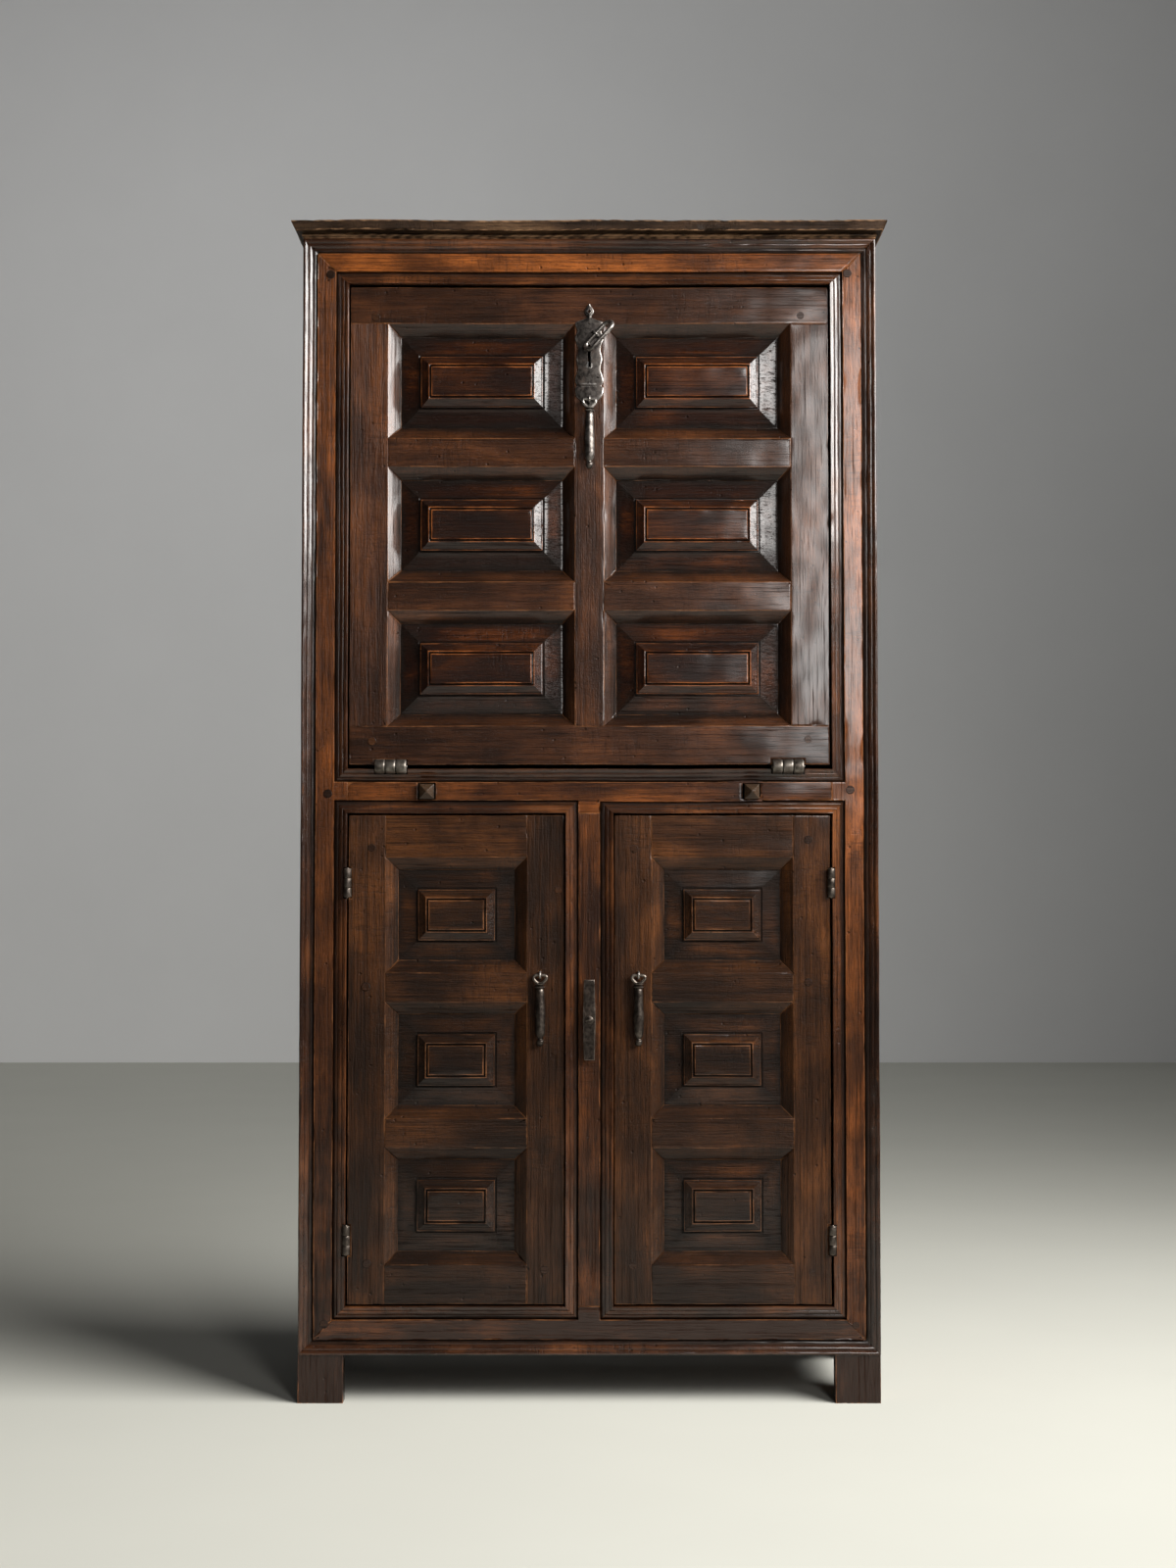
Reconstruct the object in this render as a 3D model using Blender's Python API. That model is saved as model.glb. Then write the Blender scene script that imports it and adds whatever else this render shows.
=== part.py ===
"""Fall-front cabinet: a mitred face frame on a plank case, a fall front of six raised panels
over two panelled doors, wrought iron hinges, drop handles, lock plate and turn latch, and two
lopers that draw out to carry the fall. Metres, +Z up, the front faces -Y, origin on the floor."""

import math

import bmesh
import bpy
from mathutils import Vector

for leftover in list(bpy.data.objects):
    bpy.data.objects.remove(leftover)

# Clearances
JOINT = 0.0003
MITRE = 0.0003
SLIDE = 0.0008
SLOT_SIDE = 0.002
REACH = 0.010

# Case
CASE_WIDTH = 0.878
CASE_HEIGHT = 1.771
CASE_DEPTH = 0.414
FOOT_HEIGHT = 0.073
FOOT_WIDTH = 0.068
FRAME_THICK = 0.030
POST_WIDTH = 0.0705
TOP_RAIL_HEIGHT = 0.071
MID_RAIL_HEIGHT = 0.068
BOTTOM_RAIL_HEIGHT = 0.072
DOOR_OPENING_HEIGHT = 0.743
CENTRE_POST_WIDTH = 0.073
SIDE_THICK = 0.024
SIDE_FOOT = 0.075
SIDE_ARCH = 0.055
BACK_THICK = 0.016
BACK_LAP = 0.012
BACK_BOARDS = 5
BACK_GROOVE = 0.004
BOARD_THICK = 0.018
DADO = 0.008
TENON_THICK = 0.010
TENON_SET = 0.013
TENON_LENGTH = 0.030
TENON_SHOULDER = 0.012

# Cornice, with its moulded edge as (share of height, share of overhang) from the bottom up
CORNICE_HEIGHT = 0.0235
CORNICE_FRONT = 0.024
CORNICE_SIDE = 0.017
CORNICE_EDGE = (
    (0.00, 0.04), (0.08, 0.07), (0.10, 0.19), (0.16, 0.26), (0.23, 0.26), (0.28, 0.19),
    (0.29, 0.10), (0.31, 0.93), (0.35, 1.00), (0.93, 1.00), (1.00, 0.95),
)

# Reeded mouldings
MOULDING_WIDTH = 0.020
EDGE_MOULDING_WIDTH = 0.022
REBATE_DEPTH = 0.010
MOULDING_BASE = 0.0025
REED_HEIGHT = 0.0035
REEDS = 3
REED_STEPS = 4

# Panel windows
CHAMFER_WIDTH = 0.019
GROOVE_DEPTH = 0.008
GROOVE_WIDTH = 0.0055
TONGUE_SLACK = 0.001
EAR_OVERRUN = 0.004
PANEL_ROWS = 3

# Raised panels, as shares of the clear height: the sloping margin and the moulding round the field,
# whose section is (share of its width, share of its rise) from the outside in
PANEL_MARGIN = 0.2155
PANEL_MOULDING = 0.1293
PANEL_SECTION = (
    (0.02, 0.20), (0.15, 0.26), (0.18, 0.36), (0.42, 0.56), (0.68, 0.88), (0.79, 0.90),
    (0.82, 0.70), (0.90, 0.70), (0.93, 0.96),
)

# Fall front
FALL_THICK = 0.032
FALL_SIDE_GAP = 0.003
FALL_TOP_GAP = 0.0045
FALL_BOTTOM_GAP = 0.0065
FALL_STILE = 0.0575
FALL_TOP_RAIL = 0.0555
FALL_BOTTOM_RAIL = 0.0585
FALL_CROSS_RAIL = 0.0437
FALL_MUNTIN = 0.0446
FALL_CHAMFER_DEPTH = 0.019
FALL_MARGIN_RISE = 0.0065
FALL_MOULDING_RISE = 0.0115

# Doors
DOOR_THICK = 0.026
DOOR_HINGE_GAP = 0.003
DOOR_MEETING_GAP = 0.002
DOOR_END_GAP = 0.003
DOOR_STILE = 0.056
DOOR_TOP_RAIL = 0.0635
DOOR_BOTTOM_RAIL = 0.0585
DOOR_CROSS_RAIL = 0.0445
DOOR_CHAMFER_DEPTH = 0.014
DOOR_MARGIN_RISE = 0.0015
DOOR_MOULDING_RISE = 0.0115

# Hinges
KNUCKLES = 3
KNUCKLE_GAP = 0.0004
NOTCH_CLEARANCE = 0.0006
LEAF_DEPTH = 0.024
FALL_HINGE_IN = 0.0665
FALL_BARREL = 0.048
FALL_BARREL_RADIUS = 0.0110
FALL_PIN_OUT = 0.005
FALL_LEAF_THICK = 0.002
DOOR_HINGE_FROM_TOP = 0.1025
DOOR_HINGE_FROM_BOTTOM = 0.096
DOOR_BARREL = 0.044
DOOR_BARREL_RADIUS = 0.006
DOOR_PIN_OUT = 0.004
DOOR_LEAF_THICK = 0.0011
PIN_RADIUS = 0.0022

# Lopers and the batten that guides them
LOPER_IN = 0.1215
LOPER_SIZE = 0.024
LOPER_HEAD_OUT = 0.010
LOPER_POINT = 0.009
LOPER_TIP = 0.003
LOPER_TRAVEL = 0.255
LOPER_REAR_GAP = 0.010
STOP_PEG = 0.008
STOP_PEG_DROP = 0.005
BATTEN_THICK = 0.030
BATTEN_DROP = 0.010

# Iron on the front
PLATE_THICK = 0.002
PLATE_TOP_DROP = 0.026
PLATE_OUTLINE = (
    (0.000, 0.0010), (0.011, 0.0070), (0.020, 0.0030), (0.024, 0.0110), (0.029, 0.0215),
    (0.041, 0.0180), (0.053, 0.0215), (0.069, 0.0170), (0.085, 0.0195), (0.100, 0.0170),
    (0.117, 0.0215), (0.126, 0.0185), (0.130, 0.0215), (0.143, 0.0190), (0.151, 0.0090),
    (0.158, 0.0010),
)
FINIAL_HOLE_DROP = 0.011
FINIAL_HOLE = 0.0032
KEYHOLE_DROP = 0.066
KEYHOLE_RADIUS = 0.0034
KEYHOLE_SLOT = 0.0040
KEYHOLE_LENGTH = 0.018
KEYHOLE_STEPS = 8
LOCK_CASE_WIDTH = 0.070
LOCK_CASE_HEIGHT = 0.085
LOCK_CASE_DEPTH = 0.018
HANDLE_BAR_OUT = 0.0085
HANDLE_WIRE = 0.0020
STIRRUP_WIDTH = 0.018
STIRRUP_DROP = 0.0130
STIRRUP_FOOT = 0.006
STIRRUP_WAIST = 0.45
STAPLE_WIRE = 0.0016
STAPLE_HALF = 0.0044
STAPLE_DEPTH = 0.012
FALL_HANDLE_RISE = 0.010
DOOR_HANDLE_IN = 0.036
DOOR_HANDLE_FROM_TOP = 0.242
HANDLE_PROFILE = (
    (0.0115, 0.0026), (0.0135, 0.0046), (0.0160, 0.0028), (0.0180, 0.0050), (0.0205, 0.0030),
    (0.0240, 0.0042), (0.0620, 0.0062), (0.0880, 0.0056), (0.0960, 0.0028), (0.1000, 0.0044),
    (0.1040, 0.0040), (0.1075, 0.0012),
)
RING_LENGTH = 0.052
RING_WIDTH = 0.0175
RING_WIRE = 0.0032
RING_STEPS = 6
RING_SLOPE = math.radians(48)
RING_TILT = math.radians(48)
RING_EYE_X = 0.0095
RING_EYE_DROP = 0.047
RING_EYE_OUT = 0.0052
RING_EYE_HALF = 0.0056
LATCH_LENGTH = 0.121
LATCH_WIDTH = 0.019
LATCH_END = 0.016
LATCH_THICK = 0.0034
LATCH_HEIGHT = 0.5755
LATCH_CLEARANCE = 0.0008
LATCH_HEAD = 0.0062
LATCH_HEAD_RISE = 0.0026
LATCH_HEAD_DOME = 0.7
LATCH_SHANK = 0.0026
LATCH_COLLAR = 0.0060
LATCH_SCREW_DEPTH = 0.020
LATCH_SCREW_TAPER = 0.6

# Places that follow from the sizes
BACK_Y = (CASE_DEPTH + CORNICE_FRONT) / 2
FACE_Y = BACK_Y - CASE_DEPTH
FRAME_BACK = FACE_Y + FRAME_THICK
HALF = CASE_WIDTH / 2
OPEN_X = HALF - POST_WIDTH
CENTRE_X = CENTRE_POST_WIDTH / 2
DOOR_OPEN_LOW = FOOT_HEIGHT + BOTTOM_RAIL_HEIGHT
DOOR_OPEN_HIGH = DOOR_OPEN_LOW + DOOR_OPENING_HEIGHT
FALL_OPEN_LOW = DOOR_OPEN_HIGH + MID_RAIL_HEIGHT
FALL_OPEN_HIGH = CASE_HEIGHT - TOP_RAIL_HEIGHT
MOULDING_FRONT = FACE_Y - MOULDING_BASE - REED_HEIGHT
INSIDE_BACK = BACK_Y - BACK_THICK
DESK_LOW = FALL_OPEN_LOW - BOARD_THICK

FINISH = {
    "frame": ((0.130, 0.055, 0.022), 0.42, 0.0),
    "moulding": ((0.050, 0.023, 0.012), 0.36, 0.0),
    "panel": ((0.075, 0.032, 0.015), 0.38, 0.0),
    "plank": ((0.095, 0.050, 0.026), 0.62, 0.0),
    "iron": ((0.045, 0.042, 0.040), 0.48, 0.9),
}
CIRCLE = 12


# Shapes: every solid is a stack of matching rings of points
def loft(rings, closed=False):
    """Skin a stack of rings; the ends are capped, or the last ring meets the first."""
    shape = bmesh.new()
    loops = [[shape.verts.new(point) for point in ring] for ring in rings]
    pairs = list(zip(loops, loops[1:]))
    if closed:
        pairs.append((loops[-1], loops[0]))
    else:
        shape.faces.new(loops[0][::-1])
        shape.faces.new(loops[-1])
    for low, high in pairs:
        for i in range(len(low)):
            j = (i + 1) % len(low)
            shape.faces.new((low[i], low[j], high[j], high[i]))
    bmesh.ops.recalc_face_normals(shape, faces=shape.faces[:])
    return shape


def along(axis, point, at):
    """A point of a flat outline, placed across the named axis."""
    a, b = point
    return {"X": (at, a, b), "Y": (a, at, b), "Z": (a, b, at)}[axis]


def prism(outline, axis, start, end):
    return loft([[along(axis, p, at) for p in outline] for at in (start, end)])


def block(x, y, z):
    """A box between the two values given for each axis."""
    outline = ((x[0], z[0]), (x[1], z[0]), (x[1], z[1]), (x[0], z[1]))
    return prism(outline, "Y", y[0], y[1])


def mirrored(right):
    """A front-view outline from the points of its right half, which runs on through its left."""
    return right + [(-x, z) for x, z in reversed(right)]


def rectangle(x, z, grow, y):
    """The corners of a front-view rectangle, grown outwards, at one depth."""
    return (
        (x[0] - grow, y, z[0] - grow), (x[1] + grow, y, z[0] - grow),
        (x[1] + grow, y, z[1] + grow), (x[0] - grow, y, z[1] + grow),
    )


def circle(centre, u, v, radius, steps=CIRCLE):
    turns = [2 * math.pi * i / steps for i in range(steps)]
    return [centre + (u * math.cos(t) + v * math.sin(t)) * radius for t in turns]


def turned(start, direction, profile, bore=0.0):
    """A turned solid, or a tube where it has a bore, from (distance, radius) pairs."""
    direction = Vector(direction).normalized()
    u = direction.orthogonal().normalized()
    v = direction.cross(u)
    rings = [circle(Vector(start) + direction * d, u, v, r) for d, r in profile]
    if bore:
        ends = (profile[-1][0], profile[0][0])
        rings += [circle(Vector(start) + direction * d, u, v, bore) for d in ends]
    return loft(rings, closed=bool(bore))


def tube(path, radius, closed=False, steps=8):
    """Round wire along a path of points that lie in one plane."""
    path = [Vector(p) for p in path]
    count = len(path)
    flat = (path[1] - path[0]).cross(path[-1] - path[0]).normalized()
    rings = []
    for i, point in enumerate(path):
        before = path[i - 1] if i or closed else point
        after = path[(i + 1) % count] if i + 1 < count or closed else point
        heading = (after - before).normalized()
        rings.append(circle(point, flat, heading.cross(flat), radius, steps))
    return loft(rings, closed)


# Objects
def world_place(body):
    """Where a carrier stands, through the carriers that it hangs from."""
    place = Vector()
    while body:
        place += body.location
        body = body.parent
    return place


def carrier(name, place, parent=None):
    """An empty on a joint's axis, which the pieces of a moving body hang from."""
    empty = bpy.data.objects.new(name, None)
    empty.empty_display_size = 0.05
    empty.parent = parent
    empty.location = Vector(place) - world_place(parent)
    bpy.context.scene.collection.objects.link(empty)
    return empty


def place_mesh(shape, name, body):
    mesh = bpy.data.meshes.new(name)
    bmesh.ops.translate(shape, verts=shape.verts[:], vec=-world_place(body))
    shape.to_mesh(mesh)
    shape.free()
    made = bpy.data.objects.new(name, mesh)
    made.parent = body
    bpy.context.scene.collection.objects.link(made)
    return made


def piece(shape, name, finish, body=None, smooth=False):
    """A named piece with its own material."""
    made = place_mesh(shape, name, body)
    colour, roughness, metallic = FINISH[finish]
    material = bpy.data.materials.new(name + "_finish")
    material.use_nodes = True
    shader = material.node_tree.nodes["Principled BSDF"]
    shader.inputs["Base Color"].default_value = (*colour, 1.0)
    shader.inputs["Roughness"].default_value = roughness
    shader.inputs["Metallic"].default_value = metallic
    made.data.materials.append(material)
    if smooth:
        made.data.shade_smooth()
        made.data.set_sharp_from_angle(angle=math.radians(40))
    return made


def helper(shape, name, body=None):
    """A hidden shape that cuts or extends a piece."""
    made = place_mesh(shape, name, body)
    made.hide_render = True
    made.display_type = "WIRE"
    return made


def work(target, tool, operation):
    step = target.modifiers.new(tool.name, "BOOLEAN")
    step.operation = operation
    step.solver = "EXACT"
    step.object = tool


def cut(tool, *targets):
    for target in targets:
        work(target, tool, "DIFFERENCE")


def fuse(target, *shapes):
    """Add shapes that overlap a piece to its solid."""
    for count, shape in enumerate(shapes):
        work(target, helper(shape, f"{target.name}_add_{count}", target.parent), "UNION")


def tenon(member, host, name, x, y, z):
    """A tenon on one member, and its mortise in the other."""
    work(member, helper(block(x, y, z), name + "_tenon", member.parent), "UNION")
    roomy = [(low - JOINT, high + JOINT) for low, high in (x, y, z)]
    cut(helper(block(*roomy), name + "_mortise", host.parent), host)


# Face frame: posts mitred to the top rail and to a bottom rail that is cut with its two feet
FRAME = (FACE_Y, FRAME_BACK)
posts = {}
for side, s in (("left", -1), ("right", 1)):
    post_outline = (
        (s * HALF, FOOT_HEIGHT + MITRE), (s * HALF, CASE_HEIGHT - MITRE),
        (s * OPEN_X, FALL_OPEN_HIGH - MITRE), (s * OPEN_X, DOOR_OPEN_LOW + MITRE),
    )
    posts[side] = piece(prism(post_outline, "Y", *FRAME), f"front_post_{side}", "frame")

rail_outline = (
    (MITRE - HALF, CASE_HEIGHT), (HALF - MITRE, CASE_HEIGHT),
    (OPEN_X - MITRE, FALL_OPEN_HIGH), (MITRE - OPEN_X, FALL_OPEN_HIGH),
)
top_rail = piece(prism(rail_outline, "Y", *FRAME), "top_rail", "frame")

foot_inner = HALF - FOOT_WIDTH
apron_right = [
    (OPEN_X - MITRE, DOOR_OPEN_LOW), (HALF - MITRE, FOOT_HEIGHT), (HALF, FOOT_HEIGHT),
    (HALF, 0), (foot_inner, 0), (foot_inner, FOOT_HEIGHT),
]
bottom_rail = piece(prism(mirrored(apron_right), "Y", *FRAME), "bottom_rail", "frame")

mid_inside = (-OPEN_X + JOINT, OPEN_X - JOINT)
mid_rail = piece(block(mid_inside, FRAME, (DOOR_OPEN_HIGH, FALL_OPEN_LOW)), "mid_rail", "frame")
centre_z = (DOOR_OPEN_LOW + JOINT, DOOR_OPEN_HIGH - JOINT)
centre_post = piece(block((-CENTRE_X, CENTRE_X), FRAME, centre_z), "centre_post", "frame")

tenon_y = (FACE_Y + TENON_SET, FACE_Y + TENON_SET + TENON_THICK)
mid_tenon_z = (DOOR_OPEN_HIGH + TENON_SHOULDER, FALL_OPEN_LOW - TENON_SHOULDER)
for side, s in (("left", -1), ("right", 1)):
    reach_x = sorted((s * (OPEN_X - REACH), s * (OPEN_X + TENON_LENGTH)))
    tenon(mid_rail, posts[side], f"mid_rail_{side}", reach_x, tenon_y, mid_tenon_z)
post_tenon_x = (-CENTRE_X + TENON_SHOULDER, CENTRE_X - TENON_SHOULDER)
upper_z = (DOOR_OPEN_HIGH - REACH, DOOR_OPEN_HIGH + TENON_LENGTH)
lower_z = (DOOR_OPEN_LOW - TENON_LENGTH, DOOR_OPEN_LOW + REACH)
tenon(centre_post, mid_rail, "centre_post_top", post_tenon_x, tenon_y, upper_z)
tenon(centre_post, bottom_rail, "centre_post_foot", post_tenon_x, tenon_y, lower_z)


# Reeded mouldings, mitred into rings that sit in rebates of the face frame
def reeded_ring(x, z, width, way):
    """A ring from one rectangle outwards (way 1) or inwards (way -1)."""
    back = FACE_Y + REBATE_DEPTH - JOINT
    reed = width / REEDS
    section = [(0, back)]
    for step in range(REEDS * REED_STEPS + 1):
        turn = math.pi * (step % REED_STEPS) / REED_STEPS
        across = reed * (step // REED_STEPS + (1 - math.cos(turn)) / 2)
        section.append((across, FACE_Y - MOULDING_BASE - REED_HEIGHT * math.sin(turn)))
    section.append((width, back))
    return loft([rectangle(x, z, way * across, y) for across, y in section], closed=True)


rebate_y = (FACE_Y - REACH, FACE_Y + REBATE_DEPTH)
edge_x = (-HALF, HALF)
edge_z = (FOOT_HEIGHT, CASE_HEIGHT)
edge_ring = reeded_ring(edge_x, edge_z, EDGE_MOULDING_WIDTH, -1)
piece(edge_ring, "edge_moulding", "moulding", smooth=True)
beyond_x = (-HALF - REACH, HALF + REACH)
beyond_z = (FOOT_HEIGHT - JOINT, CASE_HEIGHT + REACH)
kept = EDGE_MOULDING_WIDTH + JOINT
edge_rebate = helper(
    loft(
        [
            rectangle(beyond_x, beyond_z, 0, rebate_y[0]),
            rectangle(beyond_x, beyond_z, 0, rebate_y[1]),
            rectangle(edge_x, edge_z, -kept, rebate_y[1]),
            rectangle(edge_x, edge_z, -kept, rebate_y[0]),
        ],
        closed=True,
    ),
    "edge_rebate",
)
cut(edge_rebate, posts["left"], posts["right"], top_rail, bottom_rail)

openings = {
    "fall_opening": ((-OPEN_X, OPEN_X), (FALL_OPEN_LOW, FALL_OPEN_HIGH)),
    "left_door": ((-OPEN_X, -CENTRE_X), (DOOR_OPEN_LOW, DOOR_OPEN_HIGH)),
    "right_door": ((CENTRE_X, OPEN_X), (DOOR_OPEN_LOW, DOOR_OPEN_HIGH)),
}
round_opening = {
    "fall_opening": (posts["left"], posts["right"], top_rail, mid_rail),
    "left_door": (posts["left"], centre_post, mid_rail, bottom_rail),
    "right_door": (posts["right"], centre_post, mid_rail, bottom_rail),
}
rings = {}
for name, (open_x, open_z) in openings.items():
    ring = reeded_ring(open_x, open_z, MOULDING_WIDTH, 1)
    rings[name] = piece(ring, f"{name}_moulding", "moulding", smooth=True)
    room = MOULDING_WIDTH + JOINT
    room_x = (open_x[0] - room, open_x[1] + room)
    room_z = (open_z[0] - room, open_z[1] + room)
    cut(helper(block(room_x, rebate_y, room_z), f"{name}_rebate"), *round_opening[name])


# Plank sides, with a round-cornered arch between the front and the back foot
def arc(centre, radius, first, last, steps=4):
    turns = [math.radians(first + (last - first) * i / steps) for i in range(steps + 1)]
    return [(centre + radius * math.cos(t), radius * math.sin(t)) for t in turns]


side_front = FRAME_BACK + JOINT
side_outline = (
    [(side_front, 0)]
    + arc(side_front + SIDE_FOOT + SIDE_ARCH, SIDE_ARCH, 180, 90)
    + arc(BACK_Y - SIDE_FOOT - SIDE_ARCH, SIDE_ARCH, 90, 0)
    + [(BACK_Y, 0), (BACK_Y, CASE_HEIGHT), (side_front, CASE_HEIGHT)]
)
inside_x = HALF - SIDE_THICK
sides = [
    piece(prism(side_outline, "X", s * inside_x, s * HALF), f"side_{side}", "plank")
    for side, s in (("left", -1), ("right", 1))
]

# Back of upright boards in a rebate of the sides
lap_x = inside_x + BACK_LAP
lap_z = (FOOT_HEIGHT - JOINT, CASE_HEIGHT + REACH)
cut(helper(block((-lap_x, lap_x), (INSIDE_BACK, BACK_Y + REACH), lap_z), "back_rebate"), *sides)
back_half = lap_x - JOINT
back_front = INSIDE_BACK + JOINT
back_outline = [(-back_half, back_front), (back_half, back_front), (back_half, BACK_Y)]
for n in range(BACK_BOARDS - 1, 0, -1):
    seam = back_half * (2 * n / BACK_BOARDS - 1)
    back_outline.append((seam + BACK_GROOVE / 2, BACK_Y))
    back_outline.append((seam, BACK_Y - BACK_GROOVE))
    back_outline.append((seam - BACK_GROOVE / 2, BACK_Y))
back_outline.append((-back_half, BACK_Y))
piece(prism(back_outline, "Z", FOOT_HEIGHT, CASE_HEIGHT), "back_boards", "plank")

# Boards housed in dadoes of the sides
dado_x = inside_x + DADO
for name, top in (("floor_board", DOOR_OPEN_LOW), ("desk_board", FALL_OPEN_LOW)):
    board_z = (top - BOARD_THICK, top)
    board_x = (-dado_x + JOINT, dado_x - JOINT)
    board_y = (FRAME_BACK + JOINT, INSIDE_BACK - JOINT)
    piece(block(board_x, board_y, board_z), name, "plank")
    dado_z = (board_z[0] - JOINT, board_z[1] + JOINT)
    cut(helper(block((-dado_x, dado_x), (FACE_Y, INSIDE_BACK), dado_z), f"{name}_dado"), *sides)

# Cornice board with a moulded edge on its front and its two ends
cornice_low = CASE_HEIGHT + JOINT
cornice_rings = []
for rise, out in CORNICE_EDGE:
    level = cornice_low + (CORNICE_HEIGHT - JOINT) * rise
    end = HALF + CORNICE_SIDE * out
    front = FACE_Y - CORNICE_FRONT * out
    cornice_rings.append(
        ((-end, front, level), (end, front, level), (end, BACK_Y, level), (-end, BACK_Y, level))
    )
piece(loft(cornice_rings), "cornice", "frame")

# Lopers: square bars with pointed heads, sliding in the mid rail and in a cross batten
slot_height = LOPER_SIZE + JOINT + 2 * SLIDE
slot_low = (DOOR_OPEN_HIGH + FALL_OPEN_LOW - slot_height) / 2
loper_low = slot_low + JOINT
loper_z = (loper_low, loper_low + LOPER_SIZE)
loper_rear = INSIDE_BACK - LOPER_REAR_GAP
batten_back = loper_rear - STOP_PEG - LOPER_TRAVEL - JOINT
batten = piece(
    block(
        (-inside_x + JOINT, inside_x - JOINT),
        (batten_back - BATTEN_THICK, batten_back),
        (slot_low - BATTEN_DROP, DESK_LOW - JOINT),
    ),
    "loper_batten",
    "plank",
)
loper_face = FACE_Y - LOPER_HEAD_OUT
for side, s in (("left", -1), ("right", 1)):
    half_loper = LOPER_SIZE / 2
    middle = s * (OPEN_X - LOPER_IN)
    loper_x = (middle - half_loper, middle + half_loper)
    body = carrier(f"{side}_loper_slide", (middle, loper_face, loper_low + half_loper))
    blunt = LOPER_TIP / 2 - half_loper
    loper = loft(
        [
            rectangle(loper_x, loper_z, blunt, loper_face - LOPER_POINT),
            rectangle(loper_x, loper_z, 0, loper_face),
            rectangle(loper_x, loper_z, 0, loper_rear),
        ]
    )
    loper = piece(loper, f"{side}_loper", "frame", body)
    peg_x = (middle - STOP_PEG / 2, middle + STOP_PEG / 2)
    peg_y = (loper_rear - STOP_PEG, loper_rear - JOINT)
    fuse(loper, block(peg_x, peg_y, (loper_low - STOP_PEG_DROP, loper_low + half_loper)))
    slot_x = (loper_x[0] - SLOT_SIDE, loper_x[1] + SLOT_SIDE)
    slot_y = (FACE_Y - REACH, batten_back + REACH)
    slot = helper(block(slot_x, slot_y, (slot_low, slot_low + slot_height)), f"{side}_loper_slot")
    cut(slot, mid_rail, batten)


# Panel windows: one cutter makes the chamfer, the groove and the way through
def panel_rows(low, high, cross_rail):
    """The chamfers' outlines from the top row down, as (low, high)."""
    tall = (high - low - (PANEL_ROWS - 1) * cross_rail) / PANEL_ROWS
    tops = [high - n * (tall + cross_rail) for n in range(PANEL_ROWS)]
    return [(top - tall, top) for top in tops]


def window_cutter(x, z, chamfer_depth, thick, name, body):
    groove = FACE_Y + chamfer_depth
    clear = -CHAMFER_WIDTH
    steps = (
        (REACH * CHAMFER_WIDTH / chamfer_depth, FACE_Y - REACH),
        (clear, groove),
        (clear + GROOVE_DEPTH, groove),
        (clear + GROOVE_DEPTH, groove + GROOVE_WIDTH),
        (clear, groove + GROOVE_WIDTH),
        (clear, FACE_Y + thick + REACH),
    )
    return helper(loft([rectangle(x, z, grow, y) for grow, y in steps]), name, body)


def raised_panel(x, z, chamfer_depth, margin_rise, moulding_rise):
    """A panel with a tongue, a sloping margin and a mitred moulding that steps up to a flat field."""
    tongue = FACE_Y + chamfer_depth
    clear = -CHAMFER_WIDTH
    clear_height = z[1] - z[0] + 2 * clear
    foot = clear - PANEL_MARGIN * clear_height
    moulding = PANEL_MOULDING * clear_height
    margin = tongue + JOINT - margin_rise
    steps = [
        (clear + GROOVE_DEPTH - TONGUE_SLACK, tongue + GROOVE_WIDTH - JOINT),
        (clear + GROOVE_DEPTH - TONGUE_SLACK, tongue + JOINT),
        (clear, tongue + JOINT),
        (foot, margin),
    ]
    for across, rise in PANEL_SECTION:
        steps.append((foot - moulding * across, margin - moulding_rise * rise))
    steps.append((foot - moulding, margin - moulding_rise))
    return loft([rectangle(x, z, grow, y) for grow, y in steps])


# Fall front: two full rails, stiles between them, and a muntin with its four cross rails
fall_pin = Vector((0, FACE_Y - FALL_PIN_OUT, FALL_OPEN_LOW + FALL_BOTTOM_GAP / 2))
fall_body = carrier("fall_front_hinge", fall_pin)
FALL = (FACE_Y, FACE_Y + FALL_THICK)
fall_half = OPEN_X - FALL_SIDE_GAP
fall_z = (FALL_OPEN_LOW + FALL_BOTTOM_GAP, FALL_OPEN_HIGH - FALL_TOP_GAP)
shoulder_z = (fall_z[0] + FALL_BOTTOM_RAIL, fall_z[1] - FALL_TOP_RAIL)
window_x = fall_half - FALL_STILE
muntin_x = FALL_MUNTIN / 2
fall_rows = panel_rows(*shoulder_z, FALL_CROSS_RAIL)
last_row = PANEL_ROWS - 1
ear = CHAMFER_WIDTH + EAR_OVERRUN


def rail_with_ears(edge, shoulder, way):
    """A full-width rail whose chamfered lips are mitred at every window corner."""
    tip = shoulder + way * ear
    seat = shoulder - way * MITRE
    return mirrored(
        [
            (fall_half, edge), (fall_half, seat), (window_x, seat),
            (window_x - ear - MITRE, tip), (muntin_x + ear + MITRE, tip), (muntin_x, seat),
        ]
    )


def stile_with_ears(s):
    outline = [(s * fall_half, shoulder_z[0]), (s * fall_half, shoulder_z[1])]
    edge = s * (window_x + MITRE)
    tip = s * (window_x - ear)
    for low, high in fall_rows:
        outline += [(edge, high), (tip, high - ear - MITRE), (tip, low + ear + MITRE), (edge, low)]
    return outline


def lattice_with_ears():
    """The muntin and the cross rails as one outline, down the right side and up the left."""
    right = []
    edge = muntin_x - MITRE
    inner = muntin_x + ear
    outer = window_x - ear - MITRE
    for n, (low, high) in enumerate(fall_rows):
        if n == 0:
            right += [(edge, high), (inner, high - ear - MITRE)]
        else:
            right += [(window_x, high + MITRE), (outer, high - ear), (inner, high - ear)]
        if n == last_row:
            right += [(inner, low + ear + MITRE), (edge, low)]
        else:
            right += [(inner, low + ear), (outer, low + ear), (window_x, low - MITRE)]
    return mirrored(right)


def fall_member(outline, name):
    return piece(prism(outline, "Y", *FALL), name, "frame", fall_body)


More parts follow.
